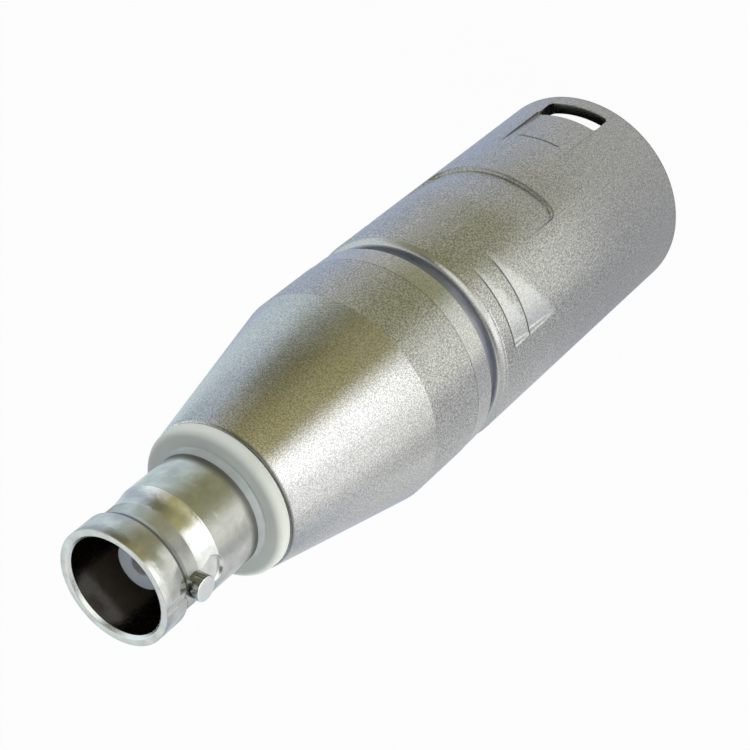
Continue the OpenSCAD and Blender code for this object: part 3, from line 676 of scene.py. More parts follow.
# %% Make pieces
SLOT_OF_NODE = {entry["node"]: entry["material_slot"] for entry in frame["record"]["subparts"]}
MERGE_DISTANCE = 1e-8
HAIR = 0.01
SKIN = 0.2
SMOOTH_ANGLE = math.radians(50)


def stand_for(made, node):
    """Lets a piece ride on the part, in place of a CAD node, which it hides."""
    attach(made, "root")
    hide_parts(node)


def to_piece(name, mesh, finish, node):
    """Closes, orients and smooths a mesh, and makes it a piece in place of a CAD node."""
    bmesh.ops.remove_doubles(mesh, verts=mesh.verts, dist=MERGE_DISTANCE)
    bmesh.ops.delete(mesh, geom=[edge for edge in mesh.edges if not edge.link_faces], context="EDGES")
    bmesh.ops.recalc_face_normals(mesh, faces=mesh.faces)
    open_edges = sum(1 for edge in mesh.edges if len(edge.link_faces) != 2)
    made = from_mesh(name, mesh)
    made.data.shade_smooth()
    made.data.set_sharp_from_angle(angle=SMOOTH_ANGLE)
    made.data.materials.append(finishes[finish])
    stand_for(made, node)
    print(f"{name}: {len(made.data.polygons)} faces, {open_edges} open edges")
    return made


def turn_piece(name, corners, finish, node, columns=256):
    """Turns a whole piece from its corners."""
    mesh, _ = lathe_mesh(rounded(corners), even_columns(columns))
    return to_piece(name, mesh, finish, node)


def dress_faces(piece, **tests):
    """Gives each finish to the faces that its test chooses by side place, radius and level in millimetres."""
    for finish, chosen in tests.items():
        piece.data.materials.append(finishes[finish])
        dressed = 0
        for face in piece.data.polygons:
            x, y, z = face.center / MM
            if chosen(x, math.hypot(x, y), z):
                face.material_index = len(piece.data.materials) - 1
                dressed += 1
        print(f"{piece.name}: {dressed} faces in {finish}")


print(len(set(SLOT_OF_NODE.values())), "slots in the record")

# %% [markdown]
# ## The rear housing
# The housing carries the jack and screws onto the shell. Outside it is a short cylinder, a crisp edge and
# a long cone; a band at the rim lies a little lower than the rest. A cylinder and a cone from the menu
# would leave hard joints, so one outline holds both, inside and outside, and the lathe closes it.

# %% Turn the rear housing
CONE_EDGE_LEVEL = z_housing + 8.1
BAND_LENGTH = 2.1
BAND_STEP = 0.06
BAND_RISE = 0.02
BAND_RISE_ROUND = 0.01
BAND_MARGIN = 0.1
CONE_FRONT_R = 6.45
CONE_TIP = 0.35
SPIGOT_R = shell_r - 0.9
THREAD_FIT = 0.05
THREAD_END = z_spigot + 0.3
THREAD_ROUND = 0.08
SLEEVE_BORE_R = 7.70
SLEEVE_SEAT_LEVEL = CONE_EDGE_LEVEL + 3.4
CAVITY_REAR_R = 6.90
CAVITY_FRONT_R = 5.79
FRONT_WALL = 2.0
BUSH_HOLE_R = 5.05

band_r = housing_r - BAND_STEP
band_end = z_housing + BAND_LENGTH
thread_r = SPIGOT_R + THREAD_FIT
wall_level = z_front - FRONT_WALL
cone_slope = (housing_r - CONE_FRONT_R) / (z_front - CONE_EDGE_LEVEL)
housing_corners = [
    (thread_r, z_housing, THREAD_ROUND), (band_r, z_housing, EASY), (band_r, band_end - BAND_MARGIN, SHARP),
    (band_r, band_end, SHARP), (housing_r, band_end + BAND_RISE, BAND_RISE_ROUND),
    (housing_r, band_end + BAND_RISE + BAND_MARGIN, SHARP), (housing_r, CONE_EDGE_LEVEL, CRISP),
    (CONE_FRONT_R + cone_slope * CONE_TIP, z_front - CONE_TIP, SHARP), (CONE_FRONT_R, z_front, EASY),
    (BUSH_HOLE_R, z_front, SOFT), (BUSH_HOLE_R, wall_level, SOFT), (CAVITY_FRONT_R, wall_level, SOFT),
    (CAVITY_REAR_R, SLEEVE_SEAT_LEVEL, CRISP), (SLEEVE_BORE_R, SLEEVE_SEAT_LEVEL, CRISP),
    (SLEEVE_BORE_R, THREAD_END, CRISP), (thread_r, THREAD_END, CRISP)]
housing = turn_piece("rear_body", housing_corners, "satin_nickel", "rear_housing")
dress_faces(housing, turned_cone=lambda x, r, z: z > CONE_EDGE_LEVEL + 2 * HAIR and r > CONE_FRONT_R - SKIN,
            smooth_band=lambda x, r, z: z < band_end and r > band_r - SKIN)

# %% Note where the housing gets painted shade
BAND_SHADE = 0.7
BAND_SHADE_HALF = 0.03
BUSH_SHADE = 0.85
BUSH_SHADE_HEIGHT = 0.16
BUSH_SHADE_SIDE = math.radians(-60)
BUSH_SHADE_SPREAD = 1.2


def keep_attribute(piece, name, worked_out):
    """Stores one value for each point of a piece, worked out from its angle, side place, radius and level."""
    places = np.empty(len(piece.data.vertices) * 3)
    piece.data.vertices.foreach_get("co", places)
    x, y, z = places.reshape(-1, 3).T / MM
    values = worked_out(np.arctan2(x, -y), x, np.hypot(x, y), z)
    piece.data.attributes.new(name, "FLOAT", "POINT").data.foreach_set("value", values.astype(np.float32))
    print(f"{piece.name}: {int((values > 0.05).sum())} points with {name}")


def housing_painted_shade(angle, x, r, z):
    """Painted shade along the band's step and, round one side, where the bush meets the cone."""
    at_band = (np.abs(z - band_end - BAND_RISE / 2) < BAND_SHADE_HALF) & (r > band_r - SKIN)
    at_bush = (z > z_front - BUSH_SHADE_HEIGHT) & (r > BUSH_HOLE_R + SKIN)
    bush_side = np.clip(BUSH_SHADE_SPREAD * np.cos(angle - BUSH_SHADE_SIDE), 0, 1)
    return np.maximum(BAND_SHADE * at_band, BUSH_SHADE * at_bush * bush_side)


keep_attribute(housing, "painted_shade", housing_painted_shade)

# %% [markdown]
# ## The plug shell
# The shell is the piece that takes most skill. It is a cast tube with a latch window, a panel behind it
# that runs out flush, an oval recess that is deep on one side, and two stepped grips on each flank.
# Boolean cuts would leave knife edges and slivers. Here the tube is a fine grid of columns and rows,
# packed closely where an edge runs, and each recess lowers the radius by a rounded step.

# %% Name the shell's forms
RIM_ROUND = 0.4
MOUTH_R = shell_r - 1.2
MOUTH_CHAMFER = 0.35
MOUTH_DEPTH = 13.8
LIP_THICKNESS = 1.4
INSERT_BORE_R = shell_r - 1.75
LIP_R = INSERT_BORE_R - 0.75
SHELL_END = z_housing - 1.4
BEAD_HEIGHT = 0.75
BEAD_ROUND = 0.8
GROOVE_WIDTH = 0.15
GROOVE_DEPTH = 0.04
WINDOW_LOW, WINDOW_HIGH = 1.6, 3.7
WINDOW_HALF = 2.9
WINDOW_CORNER = 0.45
WINDOW_LIP = 0.08
WINDOW_DRAFT = 0.3
PANEL_LENGTH = 6.3
PANEL_DEPTH = 0.25
PANEL_START = 0.1
POCKET_HALF = 1.95
POCKET_END = WINDOW_HIGH + 4.7
POCKET_DEPTH = 0.2
OVAL_LEVEL = 15.4
OVAL_LENGTH = 5.2
OVAL_HALF = 6.0
OVAL_CORNER = 1.1
OVAL_DEPTH = 0.3
GRIP_STEPS = ((SHELL_END - 2.3, 2.3), (SHELL_END - 4.6, 3.4))
GRIP_TAIL = 0.3
GRIP_DEPTH = 0.3
GRIP_START = math.radians(30)
GRIP_END = math.radians(77)
GRIP_RUNOUT = 0.5
STEP_EDGE = 0.06
OVAL_EDGE = 0.09


def step_in(distance, width):
    """Zero outside an edge and one inside it, with a rounded step of that width."""
    t = np.clip(distance / width + 0.5, 0, 1)
    return t * t * (3 - 2 * t)


def outside_by(x, z, half, low, high, corner):
    """Distance outside a rectangle with rounded corners; it is negative inside."""
    beside = np.abs(x) - (half - corner)
    along = np.abs(z - (low + high) / 2) - ((high - low) / 2 - corner)
    return np.hypot(np.maximum(beside, 0), np.maximum(along, 0)) + np.minimum(np.maximum(beside, along), 0) - corner


print("window", WINDOW_LOW, "to", WINDOW_HIGH, "oval from", OVAL_LEVEL, "grips", GRIP_STEPS)


# %% Carve the recesses
def runout(z, start, length):
    """One where a recess starts, falling to zero where it runs out flush."""
    return np.clip(1 - (z - start) / length, 0, 1)


def panel_cut(x, z):
    """Depth behind the window: the panel that runs out flush, and the pocket in it."""
    begun = step_in(z - WINDOW_HIGH + WINDOW_CORNER, PANEL_START)
    panel = PANEL_DEPTH * runout(z, WINDOW_HIGH, PANEL_LENGTH) * step_in(WINDOW_HALF - np.abs(x), STEP_EDGE)
    pocket = POCKET_DEPTH * step_in(POCKET_END - z, STEP_EDGE) * step_in(POCKET_HALF - np.abs(x), STEP_EDGE)
    return np.maximum(panel, pocket) * begun


def window_lip(x, z):
    """Rounding along the edge of the window itself."""
    out = outside_by(x, z, WINDOW_HALF, WINDOW_LOW, WINDOW_HIGH, WINDOW_CORNER)
    near = np.clip(WINDOW_LIP - np.maximum(out, 0), 0, WINDOW_LIP)
    return np.where(out > -1e-3, WINDOW_LIP - np.sqrt(WINDOW_LIP ** 2 - near ** 2), 0)


def outside_oval(x, z):
    """Distance outside the oval's edge."""
    return outside_by(x, z, OVAL_HALF, OVAL_LEVEL, OVAL_LEVEL + OVAL_LENGTH + 2 * OVAL_CORNER, OVAL_CORNER)


def oval_cut(x, z):
    """Depth of the oval recess: deep at its lower level, flush at its end."""
    return OVAL_DEPTH * runout(z, OVAL_LEVEL, OVAL_LENGTH) * step_in(-outside_oval(x, z), OVAL_EDGE)


def grip_cut(angle, z):
    """Depth of the stepped grips: cones set off the axis, so each step deepens towards its end."""
    aside = np.abs(angle)
    off = GRIP_DEPTH / (math.cos(GRIP_START) - math.cos(GRIP_END))
    deep = shell_r - off * math.cos(GRIP_START)
    flush = shell_r - off * math.cos(GRIP_END)
    depth = np.zeros_like(z)
    for top, length in GRIP_STEPS:
        run = length + GRIP_TAIL
        ring = flush + (deep - flush) * np.clip(1 - (top - z) / run, 0, 1)
        floor_r = off * np.cos(aside) + np.sqrt(ring ** 2 - (off * np.sin(aside)) ** 2)
        inside = step_in(top - z, STEP_EDGE) * step_in((GRIP_END - aside) * shell_r, GRIP_RUNOUT)
        held = (z > top - run) & (aside < math.pi / 2)
        depth = np.maximum(depth, np.where(held, np.maximum(shell_r - floor_r, 0) * inside, 0))
    return depth


print("deepest oval", OVAL_DEPTH, "mm, deepest grip", GRIP_DEPTH, "mm")


# %% Shape the grid
def round_window_corners(x, z):
    """Moves the points on the window's rectangle onto its rounded corners."""
    from_side = WINDOW_HALF - np.abs(x)
    from_end = np.minimum(z - WINDOW_LOW, WINDOW_HIGH - z)
    near_corner = (np.minimum(from_side, from_end) > -1e-4) & (np.maximum(from_side, from_end) < WINDOW_CORNER)
    on_side = near_corner & (np.abs(from_side) < 1e-4)
    on_end = near_corner & (np.abs(from_end) < 1e-4) & ~on_side
    turn = (1 - np.where(on_side, from_end, from_side) / WINDOW_CORNER) * math.pi / 4
    little = WINDOW_CORNER * (1 - np.cos(turn))
    much = WINDOW_CORNER * (1 - np.sin(turn))
    new_side = np.where(on_side, little, np.where(on_end, much, from_side))
    new_end = np.where(on_side, much, np.where(on_end, little, from_end))
    new_z = np.where(z < (WINDOW_LOW + WINDOW_HIGH) / 2, WINDOW_LOW + new_end, WINDOW_HIGH - new_end)
    moved = on_side | on_end
    return np.where(moved, np.sign(x) * (WINDOW_HALF - new_side), x), np.where(moved, new_z, z)


def shell_shape(angle, radius, level):
    """Lines the mouth's columns up with the window, rounds its corners, drafts its wall, and carves the outside."""
    outer = (radius > shell_r - 1e-6) & (level > RIM_ROUND) & (level < SHELL_END - BEAD_HEIGHT - GROOVE_WIDTH)
    mouth = (np.abs(radius - MOUTH_R) < 1e-6) & (level > MOUTH_CHAMFER)
    edge = math.asin(WINDOW_HALF / shell_r)
    mouth_edge = math.asin(WINDOW_HALF / MOUTH_R)
    shift = np.interp(np.abs(angle), [0, edge, 3 * edge], [0, mouth_edge - edge, 0])
    angle = np.where(mouth, angle + np.sign(angle) * shift, angle)
    on_window_side = (outer | mouth) & (np.abs(angle) < math.pi / 2)
    x = radius * np.sin(angle)
    x, level = (np.where(on_window_side, new, old) for new, old in zip(round_window_corners(x, level), (x, level)))
    angle = np.where(on_window_side, np.arcsin(np.clip(x / radius, -1, 1)), angle)
    rimward = np.clip((WINDOW_LOW + WINDOW_HIGH - 2 * level) / (WINDOW_HIGH - WINDOW_LOW), 0, 1)
    inside = mouth & on_window_side & (np.abs(x) < WINDOW_HALF + 1e-3) & (level > WINDOW_LOW - 1e-3)
    level = np.where(inside, level - WINDOW_DRAFT * rimward, level)
    front = np.where(on_window_side, panel_cut(x, level) + window_lip(x, level) + oval_cut(x, level), 0)
    carved = np.where(outer, np.maximum(front, grip_cut(angle, level)), 0)
    return angle, radius - carved, level


print("shape of the shell ready")


# %% Lay out the shell's rows
ROW = 0.55
EDGE_ROW, POCKET_ROW, GRIP_ROW = 0.045, 0.025, 0.02
POCKET_OVER, GRIP_OVER = 0.1, 0.06
CLOSEST = 0.6
MOUTH_ROWS = (10, 7)
ABOVE_CHAMFER, ON_CHAMFER = 0.05, 0.04


def graded(start, stop, coarse, marks):
    """Places from start to stop, coarse in general and in fine steps to both sides of each (mark, steps, fine)."""
    found = set(np.round(np.linspace(start, stop, int(round((stop - start) / coarse)) + 1), 6))
    for mark, steps, fine in marks:
        found |= {round(mark + k * fine, 6) for k in range(-steps, steps + 1)}
    kept = []
    least = min(fine for _, _, fine in marks) * CLOSEST
    exact = {round(mark, 6) for mark, _, _ in marks}
    for place in sorted(p for p in found if start - 1e-6 <= p <= stop + 1e-6):
        if not kept or place - kept[-1] > least:
            kept.append(place)
        elif place in exact:
            kept[-1] = place
    return kept


row_marks = [(WINDOW_LOW, 10, EDGE_ROW), (WINDOW_HIGH, 10, EDGE_ROW), (OVAL_LEVEL + OVAL_CORNER / 2, 15, EDGE_ROW),
             (POCKET_END + POCKET_OVER, 10, POCKET_ROW), *((top + GRIP_OVER, 8, GRIP_ROW) for top, _ in GRIP_STEPS)]
z_bead = SHELL_END - BEAD_HEIGHT
z_groove = z_bead - GROOVE_WIDTH
outer_rows = graded(RIM_ROUND + 0.15, z_groove - 0.05, ROW, row_marks)
window_rows = [z for z in outer_rows if WINDOW_LOW - 1e-6 <= z <= WINDOW_HIGH + 1e-6]

outline = rounded([(MOUTH_R, MOUTH_CHAMFER, SHARP), (MOUTH_R + MOUTH_CHAMFER, 0, CRISP), (shell_r, 0, RIM_ROUND),
                   (shell_r, 9, SHARP)])[1:-1]
outline += [(shell_r, z) for z in outer_rows]
outline += [(shell_r, z_groove), (shell_r - GROOVE_DEPTH, z_groove + GROOVE_WIDTH / 2)]
bead_start = math.asin((z_bead - SHELL_END + BEAD_ROUND) / BEAD_ROUND)
outline += arc((shell_r - BEAD_ROUND, SHELL_END - BEAD_ROUND), BEAD_ROUND, bead_start, math.pi / 2, 14)
lip_top = MOUTH_DEPTH + LIP_THICKNESS
outline += rounded([
    (SPIGOT_R, SHELL_END, SHARP), (SPIGOT_R, z_spigot, EASY), (INSERT_BORE_R, z_spigot, EASY),
    (INSERT_BORE_R, lip_top, CRISP), (LIP_R, lip_top, SOFT), (LIP_R, MOUTH_DEPTH, SOFT), (MOUTH_R, MOUTH_DEPTH, SOFT),
    (MOUTH_R, 0, SHARP)])[:-1]
outline += [(MOUTH_R, z) for z in (*MOUTH_ROWS, *reversed(window_rows), MOUTH_CHAMFER + ABOVE_CHAMFER)]
outline += [(MOUTH_R + ON_CHAMFER, MOUTH_CHAMFER - ON_CHAMFER)]
print(len(outline), "rows")

# %% Lay out its columns
COLUMN = 2.5
WINDOW_COLUMN, POCKET_COLUMN, OVAL_COLUMN, GRIP_COLUMN = 0.33, 0.12, 0.27, 0.35


def degrees_at(x):
    """Direction, in degrees from the window's middle, of a place on the shell."""
    return math.degrees(math.asin(x / shell_r))


column_marks = []
for side in (-1, 1):
    column_marks += [(side * degrees_at(WINDOW_HALF), 9, WINDOW_COLUMN),
                     (side * degrees_at(POCKET_HALF), 5, POCKET_COLUMN),
                     (side * degrees_at(OVAL_HALF - OVAL_CORNER / 2), 18, OVAL_COLUMN),
                     (side * math.degrees(GRIP_END), 7, GRIP_COLUMN)]
degrees = graded(-180, 180 - COLUMN, COLUMN, column_marks)
print(len(degrees), "columns")

# %% Turn the shell and open the latch window
open_columns = [c for c, d in enumerate(degrees) if abs(d) <= degrees_at(WINDOW_HALF) + 1e-4]
first_column, last_column = open_columns[0], open_columns[-1]


def row_of(r, z):
    """Index of an outline point at that radius and level."""
    return min(range(len(outline)), key=lambda k: abs(outline[k][0] - r) + abs(outline[k][1] - z))


outer_window = [row_of(shell_r, z) for z in window_rows]
inner_window = [row_of(MOUTH_R, z) for z in window_rows]
gone = set(outer_window[:-1]) | set(inner_window[1:])
mesh, points = lathe_mesh(outline, np.radians(degrees), shell_shape,
                          lambda c, k: first_column <= c < last_column and k in gone)
for c in range(first_column, last_column):
    for end in (0, -1):
        o, i = outer_window[end], inner_window[end]
        mesh.faces.new((points[c][o], points[c + 1][o], points[c + 1][i], points[c][i]))
for c in (first_column, last_column):
    for (o, i), (p, j) in zip(zip(outer_window, inner_window), zip(outer_window[1:], inner_window[1:])):
        mesh.faces.new((points[c][o], points[c][p], points[c][j], points[c][i]))
shell = to_piece("plug_shell", mesh, "satin_nickel", "xlr_shell")


mouth_side = MOUTH_R + 0.1
shell_side = shell_r - 0.5
bead_from = z_bead + 0.2
joint_from = SHELL_END - 0.3


def in_shade(x, r, z):
    """Where painted shade darkens the shell: its inside and the walls of the window."""
    beside = abs(x) < WINDOW_HALF + HAIR and WINDOW_LOW - HAIR < z < WINDOW_HIGH + HAIR
    return r < mouth_side or (beside and r < shell_r - PANEL_DEPTH)


# Painted shade darkens the shell's inside, the window's walls and the joint below the bead.
dress_faces(shell, dull_inside=in_shade, smooth_bead=lambda x, r, z: z > bead_from and r > shell_side,
            dull_joint=lambda x, r, z: z > joint_from and mouth_side < r < shell_side)

# %% [markdown]
# ### Rubbing and a painted highlight on the grips, painted shade in the corners
# Fingers rub the stepped grips, and a painted highlight makes them brighter than the rest; painted shade lies
# in the corners of every step. Colour painted by hand would not follow the form, so each point keeps two
# attributes, worked out from the same functions that carved it, and the finish reads them.

# %% Note where the shell carries its painted highlight and its painted shade
RUBBED_HIGHLIGHT_FULL = 0.015
SHADE_FULL = 0.05
SHADE_SHARE = 0.9
STEP_LINE, END_LINE, OVAL_LINE, PANEL_LINE, POCKET_LINE = 0.13, 0.10, 0.08, 0.14, 0.19
END_SHARE, OVAL_SHARE, FAR_PANEL_SHARE, POCKET_SHARE = 0.5, 0.6, 0.3, 0.85
STEP_RISE, STEP_BELOW = 0.08, 0.1
END_INSIDE, END_SHALLOW = 0.04, 0.05
OVAL_THIN, OVAL_SHALLOW = 0.4, 0.06
POCKET_RISE, POCKET_ASIDE = 0.12, 0.05


def line_near(distance, half, depth):
    """Strength of a thin line of painted shade, by the distance from its middle, its half width and the step's depth.
    """
    return np.clip(2 - 2 * np.abs(distance) / half, 0, 1) * np.clip(depth / SHADE_FULL, 0, 1)


def shell_painted_shade(angle, x, r, z):
    """Painted shade along the steps and ends of the grips, the oval's edge, and the walls of panel and pocket."""
    lines = [line_near(z - top - STEP_RISE, STEP_LINE, grip_cut(angle, np.full_like(z, top - STEP_BELOW)))
             for top, _ in GRIP_STEPS]
    within = np.sign(angle) * np.minimum(np.abs(angle), GRIP_END - END_INSIDE)
    oval_depth = OVAL_THIN * oval_cut(np.zeros_like(x), z + OVAL_EDGE) - OVAL_SHALLOW
    panel_depth = PANEL_DEPTH * runout(z, WINDOW_HIGH, PANEL_LENGTH) * (z > WINDOW_HIGH)
    lines += [
        END_SHARE * line_near((np.abs(angle) - GRIP_END) * shell_r, END_LINE, grip_cut(within, z) - END_SHALLOW),
        OVAL_SHARE * line_near(outside_oval(x, z), OVAL_LINE, oval_depth),
        np.where(x > 0, 1.0, FAR_PANEL_SHARE) * line_near(np.abs(x) - WINDOW_HALF, PANEL_LINE, panel_depth),
        POCKET_SHARE * line_near(z - POCKET_END - POCKET_RISE, POCKET_LINE, POCKET_HALF + POCKET_ASIDE - np.abs(x))]
    seen = (np.abs(angle) < math.pi / 2) & (r > shell_side)
    return np.where(seen, SHADE_SHARE * np.max(lines, axis=0), 0)


def shell_rubbed_highlight(angle, x, r, z):
    """Grips that fingers rub and a painted highlight brightens, as soon as they are a little deep."""
    return np.where(r > shell_side, np.clip(grip_cut(angle, z) / RUBBED_HIGHLIGHT_FULL, 0, 1), 0)


keep_attribute(shell, "rubbed_highlight", shell_rubbed_highlight)
keep_attribute(shell, "painted_shade", shell_painted_shade)

# %% [markdown]
# ## The ivory bush
# The bush keeps the jack off the housing, so that the cable's screen and the case stay apart. Only its
# flange shows, as a pale ring between cone and jack. It is turned like the rest, with moulded edges.

# %% Turn the bush
BUSH_BORE_R = 3.80
BUSH_WALL_R = 5.0
FLANGE_ROUND = 0.55
bush_corners = [
    (BUSH_BORE_R, z_bush, CRISP), (BUSH_WALL_R, z_bush, SOFT), (BUSH_WALL_R, z_front, CRISP), (bush_r, z_front, SOFT),
    (bush_r, z_shoulder, FLANGE_ROUND), (BUSH_BORE_R, z_shoulder, CRISP)]
turn_piece("ivory_bush", bush_corners, "ivory_plastic", "insulating_bush")

# %% [markdown]
# ## The bayonet jack
# The jack is turned from bar: a clamping shoulder, a plain part, a hollow flare down to the neck, and a
# front sleeve with a chamfered mouth. Beside each lug a flat slot is milled, which the light picks out.
# The lathe's shape function cuts it: no point in the slot may lie further out than the cutter ran. Painted shade
# lies at the jack's base and in the neck beside each lug, so an attribute notes it, as on the shell.

# %% Name the jack's forms
SHOULDER_TOP = z_shoulder + 0.7
SHOULDER_RISE = 0.65
SHOULDER_EDGE_R = shoulder_r - 0.2
SHADE_TOP = SHOULDER_TOP + 1.0
SLEEVE_R = 4.83
REAR_R = 4.78
NECK_R = 4.5
SLEEVE_LEVEL = z_mouth - 2.3
NECK_END = SLEEVE_LEVEL - 0.7
NECK_LEVEL = NECK_END - 1.0
FLARE_LENGTH = 2.15
FLARE_LEVEL = NECK_LEVEL - FLARE_LENGTH
BORE_R = 4.06
BORE_FLOOR = z_mouth - 8.3
MOUTH_BEVEL_R = 0.25
MOUTH_BEVEL_DEPTH = 0.32
MOUTH_EDGE = 0.08
BEVEL_ROUND = 0.20
BARREL_R = 3.75
SEAT_R = 2.85
SEAT_LEVEL = BORE_FLOOR - 0.9
NOSE_HOLE_R = 2.1
FLAT_REACH = NECK_R - 0.04
FLAT_HALF = 1.3
FLAT_OVER = 0.35
MILL_EDGE = 0.12
LEAST_SINE = 0.5
NECK_FROM = NECK_LEVEL - 0.2
SHADE_RING_FROM = NECK_END + 0.35
HIGHLIGHT_FROM = z_mouth - 0.6
DEEP_END = BORE_FLOOR + 1.2
lug_level = (lug_bottom + lug_top) / 2
flat_start = FLARE_LEVEL - FLAT_OVER + FLAT_HALF
bore_side = BORE_R + 0.02
outside = BORE_R + 0.3


def milled(angle, radius, level):
    """Keeps the points in the slot beside each lug inside the milled flat."""
    across = radius * np.cos(angle)
    along = level - np.clip(level, flat_start, lug_level)
    share = step_in(FLAT_HALF - np.hypot(across, along), MILL_EDGE)
    cutter = FLAT_REACH / np.maximum(np.abs(np.sin(angle)), LEAST_SINE)
    cut = np.where(radius > outside, np.maximum(radius - cutter, 0) * share, 0)
    return angle, radius - cut, level


print("neck from", round(NECK_LEVEL, 2), "to", round(NECK_END, 2), "lugs at", round(lug_level, 2))


# %% Draw the jack's outline
def straight(start, stop, count):
    """Evenly spaced points of an outline, from one (radius, level) to another."""
    return list(zip(*(np.linspace(a, b, count) for a, b in zip(start, stop))))


flare_drop = REAR_R - NECK_R
flare_r = (FLARE_LENGTH ** 2 + flare_drop ** 2) / (2 * flare_drop)
jack_outline = rounded([
    (SEAT_R, z_shoulder, SHARP), (SEAT_R, z_barrel, SOFT), (BARREL_R, z_barrel, EASY), (BARREL_R, z_shoulder, CRISP),
    (SHOULDER_EDGE_R, z_shoulder, SHARP)])[1:]
for t in np.linspace(0, math.pi / 2, 12):
    jack_outline.append((SHOULDER_EDGE_R - (SHOULDER_EDGE_R - REAR_R) * math.sin(t),
                         SHOULDER_TOP - SHOULDER_RISE * math.cos(t)))
jack_outline += straight((REAR_R, SHOULDER_TOP + 0.05), (REAR_R, SHADE_TOP), 10)
jack_outline += straight((REAR_R, FLARE_LEVEL - FLAT_OVER - 0.1), (REAR_R, FLARE_LEVEL - 0.03), 14)
for z in np.linspace(FLARE_LEVEL, NECK_LEVEL, 60):
    jack_outline.append((NECK_R + flare_r - math.sqrt(flare_r ** 2 - (NECK_LEVEL - z) ** 2), z))
jack_outline += straight((NECK_R, NECK_LEVEL), (NECK_R, NECK_END), 14)[1:-1]
jack_outline += straight((NECK_R, NECK_END), (SLEEVE_R, SLEEVE_LEVEL), 13)
jack_outline += rounded([
    (SLEEVE_R, SLEEVE_LEVEL, SHARP), (SLEEVE_R, z_mouth, MOUTH_EDGE), (BORE_R + MOUTH_BEVEL_R, z_mouth, BEVEL_ROUND),
    (BORE_R, z_mouth - MOUTH_BEVEL_DEPTH, MOUTH_EDGE), (BORE_R, BORE_FLOOR, SOFT), (NOSE_HOLE_R, BORE_FLOOR, CRISP),
    (NOSE_HOLE_R, SEAT_LEVEL, CRISP), (SEAT_R, SEAT_LEVEL, CRISP), (SEAT_R, z_shoulder, SHARP)])[1:-1]
print(len(jack_outline), "points in the jack's outline")

# %% Turn, mill and dress the jack
JACK_COLUMN, LUG_COLUMN = 1.5, 0.4
jack_degrees = graded(-180, 180 - JACK_COLUMN, JACK_COLUMN, [(side * 90, 45, LUG_COLUMN) for side in (-1, 1)])
mesh, _ = lathe_mesh(jack_outline, np.radians(jack_degrees), milled)
jack = to_piece("jack_body", mesh, "bright_nickel", "bnc_body")
# Painted shade darkens the jack's shoulder, a ring under its sleeve and the floor of its bore; the bore's wall is a
# darker, browner plate.
dress_faces(
    jack, dark_bore=lambda x, r, z: r < bore_side and z > SEAT_LEVEL,
    deep_bore=lambda x, r, z: r < bore_side and SEAT_LEVEL < z < DEEP_END,
    dull_shoulder=lambda x, r, z: r > REAR_R - HAIR and z < SHOULDER_TOP + HAIR,
    dark_ring=lambda x, r, z: r > NECK_R and SHADE_RING_FROM < z < SLEEVE_LEVEL - 2 * HAIR,
    # The two lighter plates below, on the flare and on the mouth's bevel, are painted highlights.
    flare_plate=lambda x, r, z: r > outside and FLARE_LEVEL < z < NECK_LEVEL,
    neck_plate=lambda x, r, z: r > outside and NECK_FROM < z < SHADE_RING_FROM,
    worn_plate=lambda x, r, z: bore_side < r < BORE_R + MOUTH_BEVEL_R and z > HIGHLIGHT_FROM)

# %% Note where the jack gets painted shade
SHADE_DEEP = SHOULDER_TOP + 0.25
BASE_SHADE = 0.8
NECK_SHADE = 0.55
NECK_SHADE_LOW, NECK_SHADE_HIGH = NECK_LEVEL - 0.15, NECK_END + 0.3
NECK_SHADE_FROM_LUG = math.radians(40)
NECK_SHADE_WIDTH = math.radians(20)


def jack_painted_shade(angle, x, r, z):
    """Painted shade at the base of the plain part, which thins out upwards, and in the neck beside each lug."""
    thinning = step_in((SHADE_TOP + SHADE_DEEP) / 2 - z, SHADE_TOP - SHADE_DEEP)
    at_base = (r > REAR_R - HAIR) & (z > SHOULDER_TOP - HAIR)
    from_lug = np.abs(np.abs(angle) - math.pi / 2)
    beside = np.exp(-((from_lug - NECK_SHADE_FROM_LUG) / NECK_SHADE_WIDTH) ** 2)
    in_neck = (r > outside) & (z > NECK_SHADE_LOW) & (z < NECK_SHADE_HIGH)
    return np.where(at_base, BASE_SHADE * thinning, np.where(in_neck, NECK_SHADE * beside, 0))


keep_attribute(jack, "painted_shade", jack_painted_shade)

# %% [markdown]
# ## Lugs and insulator
# Small turned parts are solid, so their outlines run in to the axis and the lathe closes them there. The
# lugs lie across the jack, so their meshes are turned on the axis first and then laid over in the mesh.

# %% Turn the lugs
LUG_R = (lug_top - lug_bottom) / 2
LUG_ROOT = 4.12
LUG_ROUND = 0.12
LUG_FACE = 0.05
lug_length = lug_tip - LUG_ROOT
lug_corners = [(0, 0, SHARP), (LUG_R, 0, CRISP), (LUG_R, lug_length, LUG_ROUND), (0, lug_length, SHARP)]
pair = bmesh.new()
for side in (-1, 1):
    mesh, _ = lathe_mesh(rounded(lug_corners), even_columns(64))
    lay = Matrix.Translation((side * LUG_ROOT * MM, 0, lug_level * MM)) @ Matrix.Rotation(side * math.pi / 2, 4, "Y")
    mesh.transform(lay)
    single = bpy.data.meshes.new("lug")
    mesh.to_mesh(single)
    mesh.free()
    pair.from_mesh(single)
    bpy.data.meshes.remove(single)
# The lugs' sides are a darker plate as painted shade, and their ends a lighter one as a painted highlight.
lugs = to_piece("lug_pair", pair, "lug_plate", "bayonet_lugs")
dress_faces(lugs, worn_plate=lambda x, r, z: abs(x) > lug_tip - LUG_FACE)

